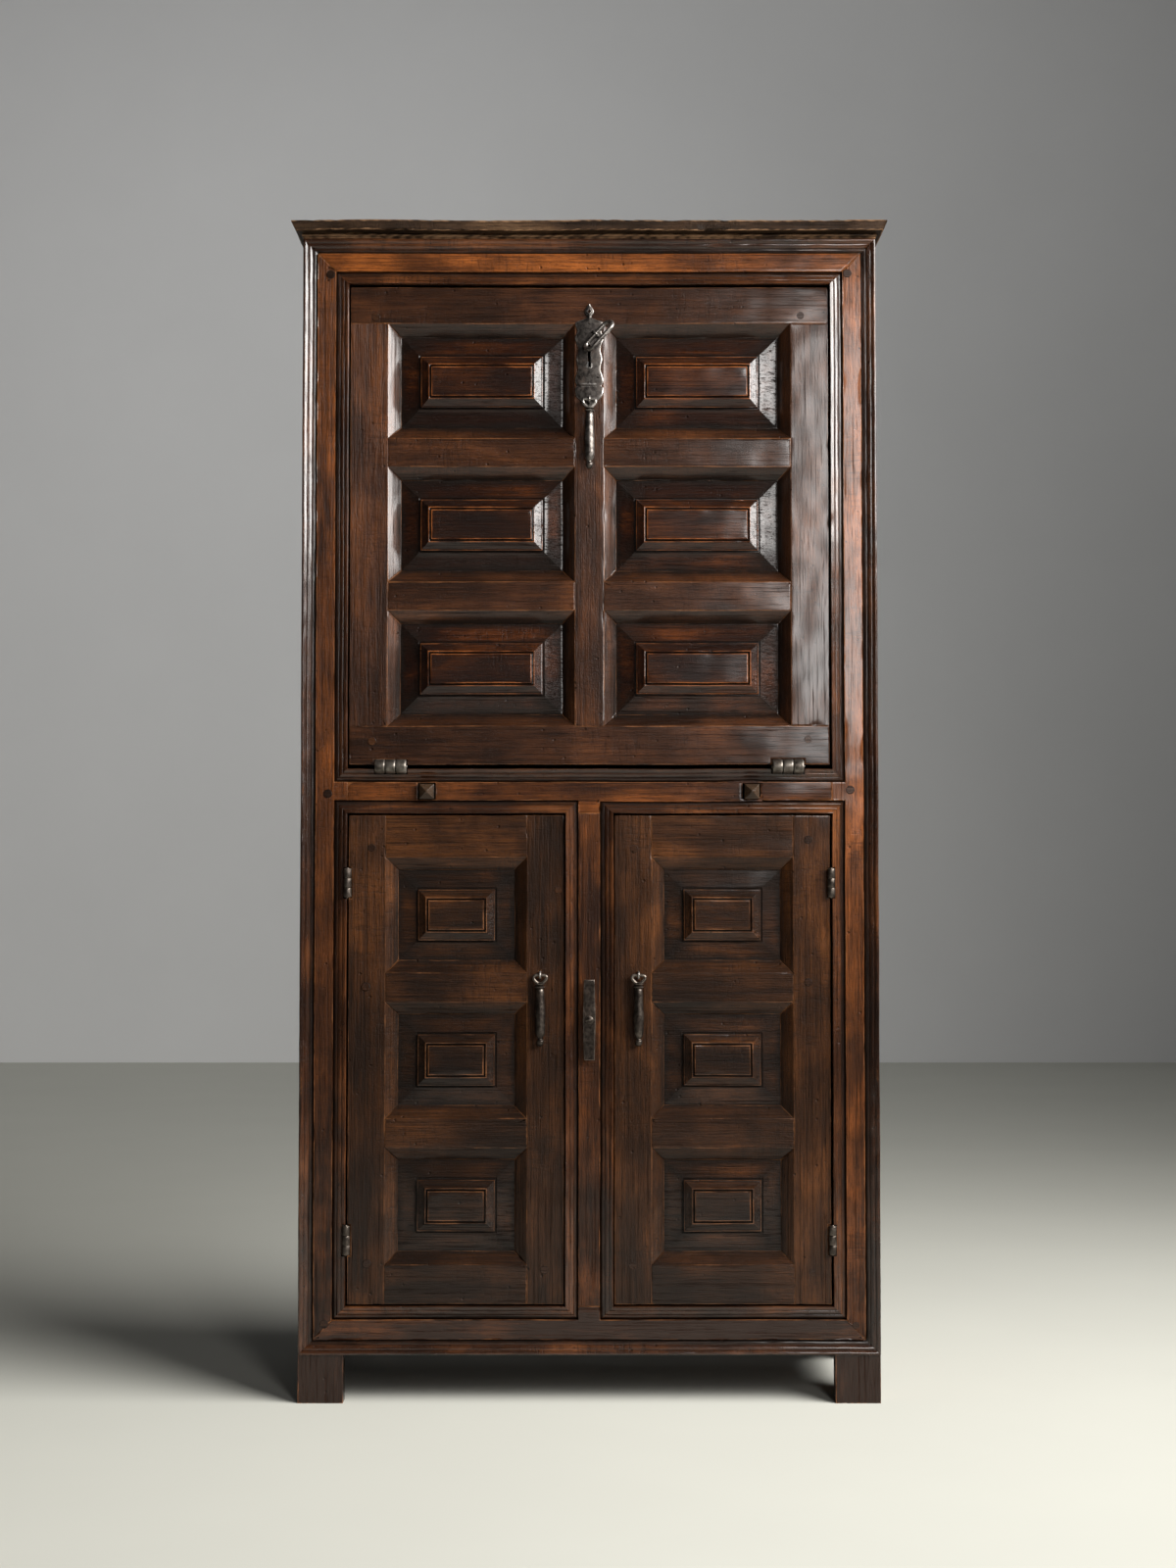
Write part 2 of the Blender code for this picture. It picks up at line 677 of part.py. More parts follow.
fall_rails = {
    "top": fall_member(rail_with_ears(fall_z[1], shoulder_z[1], -1), "fall_top_rail"),
    "bottom": fall_member(rail_with_ears(fall_z[0], shoulder_z[0], 1), "fall_bottom_rail"),
}
fall_stiles = {
    "left": fall_member(stile_with_ears(-1), "fall_stile_left"),
    "right": fall_member(stile_with_ears(1), "fall_stile_right"),
}
lattice = fall_member(lattice_with_ears(), "fall_muntin_and_cross_rails")

end_spans = {
    "top": (shoulder_z[1] - REACH, shoulder_z[1] + TENON_LENGTH),
    "bottom": (shoulder_z[0] - TENON_LENGTH, shoulder_z[0] + REACH),
}
muntin_tenon = muntin_x - TENON_SHOULDER
for end, span in end_spans.items():
    for side, s in (("left", -1), ("right", 1)):
        stile_x = sorted((s * (window_x + TENON_SHOULDER), s * (fall_half - TENON_SHOULDER)))
        tenon(fall_stiles[side], fall_rails[end], f"fall_stile_{side}_{end}", stile_x, tenon_y, span)
    muntin_span = (-muntin_tenon, muntin_tenon)
    tenon(lattice, fall_rails[end], f"fall_muntin_{end}", muntin_span, tenon_y, span)
for side, s in (("left", -1), ("right", 1)):
    cross_x = sorted((s * (window_x - REACH), s * (window_x + TENON_LENGTH)))
    for n in range(last_row):
        cross_z = (fall_rows[n + 1][1] + TENON_SHOULDER, fall_rows[n][0] - TENON_SHOULDER)
        tenon(lattice, fall_stiles[side], f"cross_rail_{side}_{n + 1}", cross_x, tenon_y, cross_z)

fall_columns = {"left": (-window_x, -muntin_x), "right": (muntin_x, window_x)}
for side, column in fall_columns.items():
    for n, row in enumerate(fall_rows):
        name = f"fall_panel_{side}_{n + 1}"
        opening = window_cutter(
            column, row, FALL_CHAMFER_DEPTH, FALL_THICK, name + "_window", fall_body
        )
        cut(opening, fall_stiles[side], lattice)
        if n == 0:
            cut(opening, fall_rails["top"])
        if n == last_row:
            cut(opening, fall_rails["bottom"])
        panel = raised_panel(column, row, FALL_CHAMFER_DEPTH, FALL_MARGIN_RISE, FALL_MOULDING_RISE)
        piece(panel, name, "panel", fall_body)

# Doors: a pegged frame with three panels each, hung on the outer side
door_z = (DOOR_OPEN_LOW + DOOR_END_GAP, DOOR_OPEN_HIGH - DOOR_END_GAP)
DOOR = (FACE_Y, FACE_Y + DOOR_THICK)
door_rows = panel_rows(door_z[0] + DOOR_BOTTOM_RAIL, door_z[1] - DOOR_TOP_RAIL, DOOR_CROSS_RAIL)
door_inner = CENTRE_X + DOOR_MEETING_GAP
door_outer = OPEN_X - DOOR_HINGE_GAP
door_pin_x = OPEN_X - DOOR_HINGE_GAP / 2
door_bodies = {}
door_frames = {}
for side, s in (("left", -1), ("right", 1)):
    pin_place = (s * door_pin_x, FACE_Y - DOOR_PIN_OUT, sum(door_z) / 2)
    body = carrier(f"{side}_door_hinge", pin_place)
    span = sorted((s * door_inner, s * door_outer))
    frame = piece(block(span, DOOR, door_z), f"{side}_door_frame", "frame", body)
    pane_x = (span[0] + DOOR_STILE, span[1] - DOOR_STILE)
    for n, row in enumerate(door_rows):
        name = f"{side}_door_panel_{n + 1}"
        cut(window_cutter(pane_x, row, DOOR_CHAMFER_DEPTH, DOOR_THICK, name + "_window", body), frame)
        panel = raised_panel(pane_x, row, DOOR_CHAMFER_DEPTH, DOOR_MARGIN_RISE, DOOR_MOULDING_RISE)
        piece(panel, name, "panel", body)
    door_bodies[side] = body
    door_frames[side] = frame

# Hinges: the moving leaf holds the two outer knuckles, the case leaf the middle one and the pin
DEPTH = Vector((0, 1, 0))


def hinge(name, centre, axis, toward, size, half_gap, moving, woods):
    """A hinge whose leaves lie in the gap; toward points from the moving piece to the case."""
    length, radius, thick = size
    axis = Vector(axis)
    toward = Vector(toward)
    third = length / KNUCKLES
    root = radius + NOTCH_CLEARANCE
    tab = radius / 2
    seat = half_gap - JOINT

    def leaf(outline, faces):
        flat = [centre + axis * a + DEPTH * b for a, b in outline]
        return loft([[point + toward * c for point in flat] for c in faces])

    def knuckle(n, bore):
        start = centre + axis * (n * third - length / 2 + KNUCKLE_GAP / 2)
        return turned(start, axis, ((0, radius), (third - KNUCKLE_GAP, radius)), bore)

    end = length / 2
    inner = third / 2
    outer_tabs = (
        (-end + KNUCKLE_GAP, tab), (-inner - KNUCKLE_GAP, tab), (-inner - KNUCKLE_GAP, root),
        (inner + KNUCKLE_GAP, root), (inner + KNUCKLE_GAP, tab), (end - KNUCKLE_GAP, tab),
        (end - KNUCKLE_GAP, LEAF_DEPTH), (-end + KNUCKLE_GAP, LEAF_DEPTH),
    )
    middle_tab = (
        (-end, root), (-inner + KNUCKLE_GAP, root), (-inner + KNUCKLE_GAP, tab),
        (inner - KNUCKLE_GAP, tab), (inner - KNUCKLE_GAP, root), (end, root),
        (end, LEAF_DEPTH), (-end, LEAF_DEPTH),
    )
    bore = PIN_RADIUS + JOINT
    swinging = piece(leaf(outer_tabs, (-seat, thick - seat)), f"{name}_leaf", "iron", moving)
    fuse(swinging, knuckle(0, bore), knuckle(KNUCKLES - 1, bore))
    fixed = piece(leaf(middle_tab, (seat - thick, seat)), f"{name}_case_leaf", "iron")
    pin_start = centre - axis * (end + PIN_RADIUS / 2)
    pin = turned(pin_start, axis, ((0, PIN_RADIUS), (length + PIN_RADIUS, PIN_RADIUS)))
    fuse(fixed, knuckle(1, 0), pin)

    half = end + NOTCH_CLEARANCE + PIN_RADIUS / 2
    corners = [centre + axis * a + (DEPTH + toward) * c for a, c in ((-half, -root), (half, root))]
    spans = [sorted(pair) for pair in zip(*corners)]
    cut(helper(block(*spans), f"{name}_notch", moving), *woods)


for side, s in (("left", -1), ("right", 1)):
    hinge(
        f"fall_hinge_{side}",
        fall_pin + Vector((s * (OPEN_X - FALL_HINGE_IN), 0, 0)),
        (1, 0, 0),
        (0, 0, -1),
        (FALL_BARREL, FALL_BARREL_RADIUS, FALL_LEAF_THICK),
        FALL_BOTTOM_GAP / 2,
        fall_body,
        (fall_rails["bottom"], rings["fall_opening"]),
    )
    heights = {"upper": door_z[1] - DOOR_HINGE_FROM_TOP, "lower": door_z[0] + DOOR_HINGE_FROM_BOTTOM}
    for level, height in heights.items():
        hinge(
            f"{side}_door_{level}_hinge",
            Vector((s * door_pin_x, FACE_Y - DOOR_PIN_OUT, height)),
            (0, 0, 1),
            (s, 0, 0),
            (DOOR_BARREL, DOOR_BARREL_RADIUS, DOOR_LEAF_THICK),
            DOOR_HINGE_GAP / 2,
            door_bodies[side],
            (door_frames[side], rings[f"{side}_door"]),
        )


# Lock plate, pierced, with an eye for the ring and a staple for the handle
def staple(centre, across, half, seat, steps=6):
    """A wire loop round a bar, its two legs running back to the depth given by seat."""
    across = Vector(across)
    turns = [math.pi * i / steps for i in range(steps + 1)]
    loop = [centre + (across * math.cos(t) - DEPTH * math.sin(t)) * half for t in turns]
    first = centre + across * half
    last = centre - across * half
    first.y = last.y = seat
    return tube([first, *loop, last], STAPLE_WIRE)


plate_y = (FACE_Y - JOINT - PLATE_THICK, FACE_Y - JOINT)
plate_top = fall_z[1] - PLATE_TOP_DROP
plate_outline = mirrored([(half, plate_top - drop) for drop, half in PLATE_OUTLINE])
plate = piece(prism(plate_outline, "Y", *plate_y), "lock_plate", "iron", fall_body)
hole_z = plate_top - FINIAL_HOLE_DROP
finial_hole = (
    (FINIAL_HOLE, hole_z), (0, hole_z + FINIAL_HOLE),
    (-FINIAL_HOLE, hole_z), (0, hole_z - FINIAL_HOLE),
)
finial_way = prism(finial_hole, "Y", FACE_Y - REACH, FACE_Y - JOINT / 2)
cut(helper(finial_way, "finial_hole", fall_body), plate)

key_z = plate_top - KEYHOLE_DROP
slot_turn = math.asin(KEYHOLE_SLOT / 2 / KEYHOLE_RADIUS)
bow_sweep = 2 * (math.pi - slot_turn)
keyhole = [(KEYHOLE_SLOT / 2, key_z - KEYHOLE_LENGTH)]
for step in range(KEYHOLE_STEPS + 1):
    turn = slot_turn - math.pi / 2 + bow_sweep * step / KEYHOLE_STEPS
    keyhole.append((KEYHOLE_RADIUS * math.cos(turn), key_z + KEYHOLE_RADIUS * math.sin(turn)))
keyhole.append((-KEYHOLE_SLOT / 2, key_z - KEYHOLE_LENGTH))
key_way = prism(keyhole, "Y", FACE_Y - REACH, FACE_Y + FALL_THICK + REACH)
cut(helper(key_way, "key_way", fall_body), plate, lattice)
case_x = (-LOCK_CASE_WIDTH / 2, LOCK_CASE_WIDTH / 2)
case_y = (FALL[1] + JOINT, FALL[1] + JOINT + LOCK_CASE_DEPTH)
case_z = (key_z - LOCK_CASE_HEIGHT / 2, key_z + LOCK_CASE_HEIGHT / 2)
piece(block(case_x, case_y, case_z), "lock_case", "iron", fall_body)

# Lock ring: an oval link whose long side turns in the eye
run = Vector((math.cos(RING_SLOPE), 0, math.sin(RING_SLOPE)))
fall_away = Vector((math.sin(RING_SLOPE), 0, -math.cos(RING_SLOPE)))
eye = Vector((RING_EYE_X, plate_y[0] - RING_EYE_OUT, plate_top - RING_EYE_DROP))
ring_body = carrier("lock_ring_pivot", eye, fall_body)
plate_seat = sum(plate_y) / 2
swing = fall_away * math.cos(RING_TILT) - DEPTH * math.sin(RING_TILT)
bend = RING_WIDTH / 2
oval = []
straight = RING_LENGTH / 2 - bend
for middle, first in ((straight, -math.pi / 2), (-straight, math.pi / 2)):
    for step in range(RING_STEPS + 1):
        turn = first + math.pi * step / RING_STEPS
        out = bend * (1 + math.sin(turn))
        oval.append(eye + run * (middle + bend * math.cos(turn)) + swing * out)
piece(tube(oval, RING_WIRE, closed=True), "lock_ring", "iron", ring_body, smooth=True)
fuse(plate, staple(eye, fall_away, RING_EYE_HALF, plate_seat))


# Drop handles: a turned pendant under a wire stirrup that hangs in a staple
def drop_handle(name, bar, body):
    half = STIRRUP_WIDTH / 2
    waist = STIRRUP_DROP * STIRRUP_WAIST
    foot = STIRRUP_FOOT / 2
    loop = mirrored([(half, 0), (half + HANDLE_WIRE / 2, -waist), (foot, -STIRRUP_DROP)])
    wire = tube([bar + Vector((x, 0, z)) for x, z in loop], HANDLE_WIRE, closed=True)
    handle = piece(wire, name, "iron", body, smooth=True)
    fuse(handle, turned(bar, (0, 0, -1), HANDLE_PROFILE))


UP = Vector((0, 0, 1))
plate_foot = plate_top - PLATE_OUTLINE[-1][0]
fall_bar = Vector((0, plate_y[0] - HANDLE_BAR_OUT, plate_foot + FALL_HANDLE_RISE))
fuse(plate, staple(fall_bar, UP, STAPLE_HALF, plate_seat))
drop_handle("fall_handle", fall_bar, carrier("fall_handle_pivot", fall_bar, fall_body))
for side, s in (("left", -1), ("right", 1)):
    body = door_bodies[side]
    bar_x = s * (door_inner + DOOR_HANDLE_IN)
    bar = Vector((bar_x, FACE_Y - HANDLE_BAR_OUT, door_z[1] - DOOR_HANDLE_FROM_TOP))
    wire = staple(bar, UP, STAPLE_HALF, FACE_Y + STAPLE_DEPTH)
    piece(wire, f"{side}_handle_staple", "iron", body, smooth=True)
    drop_handle(f"{side}_handle", bar, carrier(f"{side}_handle_pivot", bar, body))
    leg_half = STAPLE_WIRE + JOINT
    leg_y = (FACE_Y - REACH, FACE_Y + STAPLE_DEPTH + JOINT)
    for level, leg_z in (("upper", bar.z + STAPLE_HALF), ("lower", bar.z - STAPLE_HALF)):
        leg_x = (bar.x - leg_half, bar.x + leg_half)
        leg = block(leg_x, leg_y, (leg_z - leg_half, leg_z + leg_half))
        cut(helper(leg, f"{side}_staple_{level}_leg", body), door_frames[side])

# Turn latch: a flat bar on a collared screw in the centre post, clear of the mouldings
latch_y = (MOULDING_FRONT - LATCH_CLEARANCE - LATCH_THICK, MOULDING_FRONT - LATCH_CLEARANCE)
latch_place = Vector((0, latch_y[0], LATCH_HEIGHT))
latch_body = carrier("turn_latch_pivot", latch_place)
latch_right = [
    (LATCH_END / 2, LATCH_HEIGHT + LATCH_LENGTH / 2), (LATCH_WIDTH / 2, LATCH_HEIGHT),
    (LATCH_END / 2, LATCH_HEIGHT - LATCH_LENGTH / 2),
]
latch = piece(prism(mirrored(latch_right), "Y", *latch_y), "turn_latch", "iron", latch_body)
over = latch_place - DEPTH * REACH
eye_bore = turned(over, DEPTH, ((0, LATCH_SHANK + JOINT), (2 * REACH, LATCH_SHANK + JOINT)))
cut(helper(eye_bore, "latch_eye", latch_body), latch)

head_y = latch_y[0] - JOINT - LATCH_HEAD_RISE
grip = latch_y[1] + JOINT - head_y
seat = FACE_Y - JOINT - head_y
screw_profile = (
    (0, LATCH_HEAD * LATCH_HEAD_DOME), (LATCH_HEAD_RISE / 2, LATCH_HEAD),
    (LATCH_HEAD_RISE, LATCH_HEAD), (LATCH_HEAD_RISE, LATCH_SHANK), (grip, LATCH_SHANK),
    (grip, LATCH_COLLAR), (seat, LATCH_COLLAR), (seat, LATCH_SHANK),
    (seat + LATCH_SCREW_DEPTH, LATCH_SHANK * LATCH_SCREW_TAPER),
)
screw = turned((0, head_y, LATCH_HEIGHT), DEPTH, screw_profile)
piece(screw, "latch_screw", "iron", smooth=True)
bore_length = REACH + LATCH_SCREW_DEPTH + JOINT
screw_bore = ((0, LATCH_SHANK + JOINT), (bore_length, LATCH_SHANK + JOINT))
bore_start = (0, FACE_Y - REACH, LATCH_HEIGHT)
cut(helper(turned(bore_start, DEPTH, screw_bore), "latch_screw_bore"), centre_post)
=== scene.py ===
"""A fall-front cabinet in waxed walnut with forged iron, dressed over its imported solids.

The sections follow the cabinet as it is put together, and end with the room and the camera.
"""

import math

import bmesh
import bpy
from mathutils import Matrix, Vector, kdtree, noise


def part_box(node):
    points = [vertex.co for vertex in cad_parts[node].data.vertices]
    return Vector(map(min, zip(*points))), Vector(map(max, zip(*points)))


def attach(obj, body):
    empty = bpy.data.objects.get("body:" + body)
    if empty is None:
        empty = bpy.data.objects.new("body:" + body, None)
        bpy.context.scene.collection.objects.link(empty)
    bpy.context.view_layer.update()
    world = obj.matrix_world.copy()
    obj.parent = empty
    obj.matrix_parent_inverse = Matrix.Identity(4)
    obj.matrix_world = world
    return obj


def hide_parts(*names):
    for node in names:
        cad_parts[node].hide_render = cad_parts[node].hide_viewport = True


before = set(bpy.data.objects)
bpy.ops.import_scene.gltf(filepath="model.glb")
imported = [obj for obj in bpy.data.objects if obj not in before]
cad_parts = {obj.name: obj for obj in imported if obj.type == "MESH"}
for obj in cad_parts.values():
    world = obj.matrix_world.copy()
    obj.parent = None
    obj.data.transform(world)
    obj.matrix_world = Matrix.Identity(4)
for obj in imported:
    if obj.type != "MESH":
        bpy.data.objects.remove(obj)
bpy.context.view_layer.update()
NOISE_SEED = 4
noise.seed_set(NOISE_SEED)

# Side planks: two broad walnut boards, sawn and planed by hand, with an arch cut between the
# front and the back foot. They are butted to the face frame, and were never polished as the front
# was, so they are drier and greyer.
FLAT, SHARP = math.radians(0.4), math.radians(24)
ARRIS_STEP = 0.002
BROAD = 0.0042
WEAR = 0.0030
SLOW_WAVE, QUICK_WAVE, KNOCKS = 6.0, 34.0, 61.0
KNOCKED_OVER = 0.24
HELD_BELOW = 0.06
# The first is the colour that recesses darken to, as dirt and painted shade
GRIME_AND_SHADE, SHEEN = (0.0060, 0.0040, 0.0030), 0.08


def make_flats_whole(shape):
    bmesh.ops.dissolve_limit(shape, angle_limit=FLAT, verts=shape.verts[:], edges=shape.edges[:])
    return shape


def face_out(shape):
    bmesh.ops.recalc_face_normals(shape, faces=shape.faces[:])


def solid_of(node):
    """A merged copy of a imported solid, with its flat faces whole again."""
    shape = bmesh.new()
    shape.from_mesh(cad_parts[node].data)
    bmesh.ops.remove_doubles(shape, verts=shape.verts[:], dist=2e-5)
    return make_flats_whole(shape)


def ease_arrises(shape, width):
    """Round the arrises over, and give back a tree that finds the nearest one."""
    sharp = [e for e in shape.edges if e.calc_face_angle(0) > SHARP]
    along = []
    for edge in sharp:
        first, last = (vert.co for vert in edge.verts)
        steps = max(1, round((last - first).length / ARRIS_STEP))
        along += [first.lerp(last, n / steps) for n in range(steps + 1)]
    arrises = kdtree.KDTree(len(along))
    for n, point in enumerate(along):
        arrises.insert(point, n)
    arrises.balance()
    bmesh.ops.bevel(
        shape, geom=sharp, offset=width, segments=2, profile=0.55, affect="EDGES", clamp_overlap=True
    )
    broad = [f for f in shape.faces if f.calc_area() > BROAD * f.calc_perimeter()]
    bmesh.ops.inset_individual(shape, faces=broad, thickness=WEAR, use_even_offset=False)
    return arrises


def slice_across(shape, axis, step):
    """Cut the faces at even steps, so that a long member can be a little uneven."""
    spots = [vert.co[axis] for vert in shape.verts]
    normal = Vector([float(axis == n) for n in range(3)])
    for n in range(math.ceil(min(spots) / step), math.floor(max(spots) / step) + 1):
        everything = shape.verts[:] + shape.edges[:] + shape.faces[:]
        bmesh.ops.bisect_plane(
            shape, geom=everything, dist=1e-5, plane_co=normal * (n * step), plane_no=normal
        )


def marks_on(shape, label):
    """The layer of a value that the finishes read from each point."""
    return shape.verts.layers.float.get(label) or shape.verts.layers.float.new(label)


def work_by_hand(shape, arrises=None, slow=0.0007, quick=0.0003, knock=0.0016):
    """Move every point as the plane and the years did, alike at one place, and dent the arrises."""
    arris = marks_on(shape, "arris")
    if arrises:
        for vert in shape.verts:
            vert[arris] = max(0.0, 1.15 - arrises.find(vert.co)[2] / WEAR)
    shape.normal_update()
    for vert in shape.verts:
        spot = vert.co.copy()
        move = noise.noise_vector(spot * SLOW_WAVE) * slow
        move += noise.noise_vector(spot * QUICK_WAVE) * quick
        bite = max(0.0, noise.noise(spot * KNOCKS) - KNOCKED_OVER) * vert[arris]
        move -= vert.normal * bite * knock
        move.z *= min(1.0, spot.z / HELD_BELOW)
        vert.co = spot + move


def plane_by_hand(shape, easing, cuts, *wear):
    """Ease the arrises, slice the faces by (axis, step) and make them as uneven as wear says."""
    arrises = ease_arrises(shape, easing)
    for axis, step in cuts:
        slice_across(shape, axis, step)
    work_by_hand(shape, arrises, *wear)


def stand(name, data):
    made = bpy.data.objects.new(name, data)
    bpy.context.scene.collection.objects.link(made)
    return made


def put_in_place(shape, name, material, body, nodes, lie=0.0, plank=0.5, crease=38):
    """Make the piece, tell it how its grain lies and which plank it came from, and hang it."""
    for label, value in (("lie", lie), ("plank", plank)):
        layer = shape.faces.layers.float.new(label)
        for face in shape.faces:
            face[layer] = value
    for face in shape.faces:
        face.smooth = True
    for edge in shape.edges:
        edge.smooth = edge.calc_face_angle(0) < math.radians(crease) and not edge.seam
    mesh = bpy.data.meshes.new(name)
    shape.to_mesh(mesh)
    shape.free()
    mesh.materials.append(material)
    made = stand(name, mesh)
    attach(made, body)
    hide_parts(*nodes)



def effect(name, takes, gives):
    """An empty shader group with named sockets: the tree, its inputs and its outputs."""
    tree = bpy.data.node_groups.new(name, "ShaderNodeTree")
    for way, sockets in (("INPUT", takes), ("OUTPUT", gives)):
        for label, kind in sockets.items():
            tree.interface.new_socket(label, in_out=way, socket_type=f"NodeSocket{kind}")
    return tree, tree.nodes.new("NodeGroupInput").outputs, tree.nodes.new("NodeGroupOutput").inputs


def feed(tree, socket, value):
    """Link a socket to a socket, or write a plain value on it."""
    if isinstance(value, bpy.types.NodeSocket):
        tree.links.new(value, socket)
    else:
        socket.default_value = value


def node_of(tree, kind, inputs, **settings):
    """The outputs of a new node whose inputs are fed, each by its number or its name."""
    made = tree.nodes.new(kind)
    for label, value in settings.items():
        setattr(made, label, value)
    for label, value in dict(inputs).items():
        feed(tree, made.inputs[label], value)
    return made.outputs


def maths(tree, operation, *values, clamp=False):
    return node_of(tree, "ShaderNodeMath", enumerate(values), operation=operation, use_clamp=clamp)[0]


def scaled(tree, value, by, plus=0.0, clamp=False):
    return maths(tree, "MULTIPLY_ADD", value, by, plus, clamp=clamp)


def add_up(tree, total, *parts, clamp=False):
    """A value with masks added to it, each times its share."""
    for mask, share in parts:
        total = scaled(tree, mask, share, total, clamp)
    return total


def ramp(tree, value, low, high, start=0.0, end=1.0):
    """Take a value from one range to another with soft ends."""
    numbers = enumerate((value, low, high, start, end))
    return node_of(tree, "ShaderNodeMapRange", numbers, interpolation_type="SMOOTHSTEP")["Result"]


def mottle(tree, place, scale, detail=3.0, rough=0.55, twist=0.0):
    recipe = {"Scale": scale, "Detail": detail, "Roughness": rough, "Distortion": twist}
    return node_of(tree, "ShaderNodeTexNoise", {"Vector": place, **recipe})["Fac"]


def grain(tree, board, along, across, detail, rough, twist=0.0):
    """Noise drawn out along a board, which runs in x."""
    sizes = {0: board, 1: (along, across, across)}
    drawn_out = node_of(tree, "ShaderNodeVectorMath", sizes, operation="MULTIPLY")[0]
    return mottle(tree, drawn_out, 1.0, detail, rough, twist)


def blend(tree, amount, *colours):
    first, second = ((*c, 1.0) if isinstance(c, tuple) else c for c in colours)
    return node_of(tree, "ShaderNodeMix", {0: amount, 6: first, 7: second}, data_type="RGBA")[2]


# Walnut figure: broad and fine streaks, dark lines and open pores that run with the grain, and
# the places where hands and wax have kept the wood bare and bright
walnut_figure, takes, gives = effect(
    "walnut_figure",
    {"Place": "Vector", "Lie": "Float", "Plank": "Float"},
    {name: "Float" for name in ("Streak", "Line", "Pore", "Bare", "Fleck", "Ripple")},
)
t = walnut_figure
x, y, z = node_of(t, "ShaderNodeSeparateXYZ", {0: takes["Place"]})
along = scaled(t, maths(t, "SUBTRACT", z, x), takes["Lie"], x)
across = scaled(t, maths(t, "SUBTRACT", x, z), takes["Lie"], z)
along, across = scaled(t, takes["Plank"], 17.3, along), scaled(t, takes["Plank"], 5.7, across)
board = node_of(t, "ShaderNodeCombineXYZ", {0: along, 1: across, 2: y})[0]
broad_streak = grain(t, board, 2.6, 42.0, 5.0, 0.60, 0.8)
fine_streak = grain(t, board, 11.0, 300.0, 3.0, 0.6, 0.3)
streak = scaled(t, fine_streak, 0.52, scaled(t, broad_streak, 0.48))
feed(t, gives["Streak"], ramp(t, streak, 0.30, 0.70))
for label, recipe, low, high in (
    ("Line", (5.0, 330.0, 2.0, 0.55, 0.5), 0.54, 0.68),
    ("Pore", (32.0, 700.0, 2.0, 0.5), 0.54, 0.66),
    ("Fleck", (75.0, 400.0, 2.0, 0.5, 0.8), 0.55, 0.66),
    ("Bare", (5.5, 13.0, 6.0, 0.58, 0.4), 0.33, 0.67),
):
    feed(t, gives[label], ramp(t, grain(t, board, *recipe), low, high))
ripple = ramp(t, grain(t, board, 230.0, 38.0, 3.0, 0.6, 0.7), 0.50, 0.64)
rippled = ramp(t, mottle(t, board, 9.0, 3.0, 0.6), 0.44, 0.62)
feed(t, gives["Ripple"], scaled(t, ripple, rippled))

# Use: arrises rubbed through to bright wood, dirt and painted shade in what lies deep, small
# dents, and smoke
hard_use, takes, gives = effect(
    "hard_use",
    {"Place": "Vector", "Arris": "Float", "Depth": "Float"},
    {name: "Float" for name in ("Worn", "Grime_and_shade", "Dent", "Smoke")},
)
t = hard_use
rubbing = mottle(t, takes["Place"], 24.0, 5.0, 0.62)
near = maths(t, "ADD", takes["Arris"], -1.42)
feed(t, gives["Worn"], ramp(t, scaled(t, rubbing, 1.35, near), 0.0, 0.42))
dusty = scaled(t, mottle(t, takes["Place"], 30.0, 5.0, 0.65), 1.7, -0.85)
feed(t, gives["Grime_and_shade"], scaled(t, dusty, takes["Depth"], takes["Depth"], clamp=True))
knocks = node_of(t, "ShaderNodeTexVoronoi", {"Vector": takes["Place"], "Scale": 58.0})
chance = node_of(t, "ShaderNodeSeparateColor", {0: knocks["Color"]})[0]
struck = maths(t, "GREATER_THAN", chance, 0.62)
feed(t, gives["Dent"], scaled(t, ramp(t, knocks["Distance"], 0.02, 0.16, 1.0, 0.0), struck))
feed(t, gives["Smoke"], ramp(t, mottle(t, takes["Place"], 7.0, 6.0, 0.60, 0.5), 0.34, 0.64))


def use_effect(tree, group, **values):
    inputs = {label.capitalize(): value for label, value in values.items()}
    return node_of(tree, "ShaderNodeGroup", inputs, node_tree=group)


def read_from_piece(tree, label):
    return node_of(tree, "ShaderNodeAttribute", {}, attribute_name=label)["Fac"]


def bare_material(name):
    """A new material: itself, its tree, its shader's sockets and the place on the object."""
    material = bpy.data.materials.new(name)
    material.use_nodes = True
    tree = material.node_tree
    place = node_of(tree, "ShaderNodeTexCoord", {})["Object"]
    return material, tree, tree.nodes["Principled BSDF"].inputs, place


def roughen(tree, shader, height, strength, distance):
    recipe = {"Strength": strength, "Distance": distance, "Height": height}
    feed(tree, shader["Normal"], node_of(tree, "ShaderNodeBump", recipe)[0])


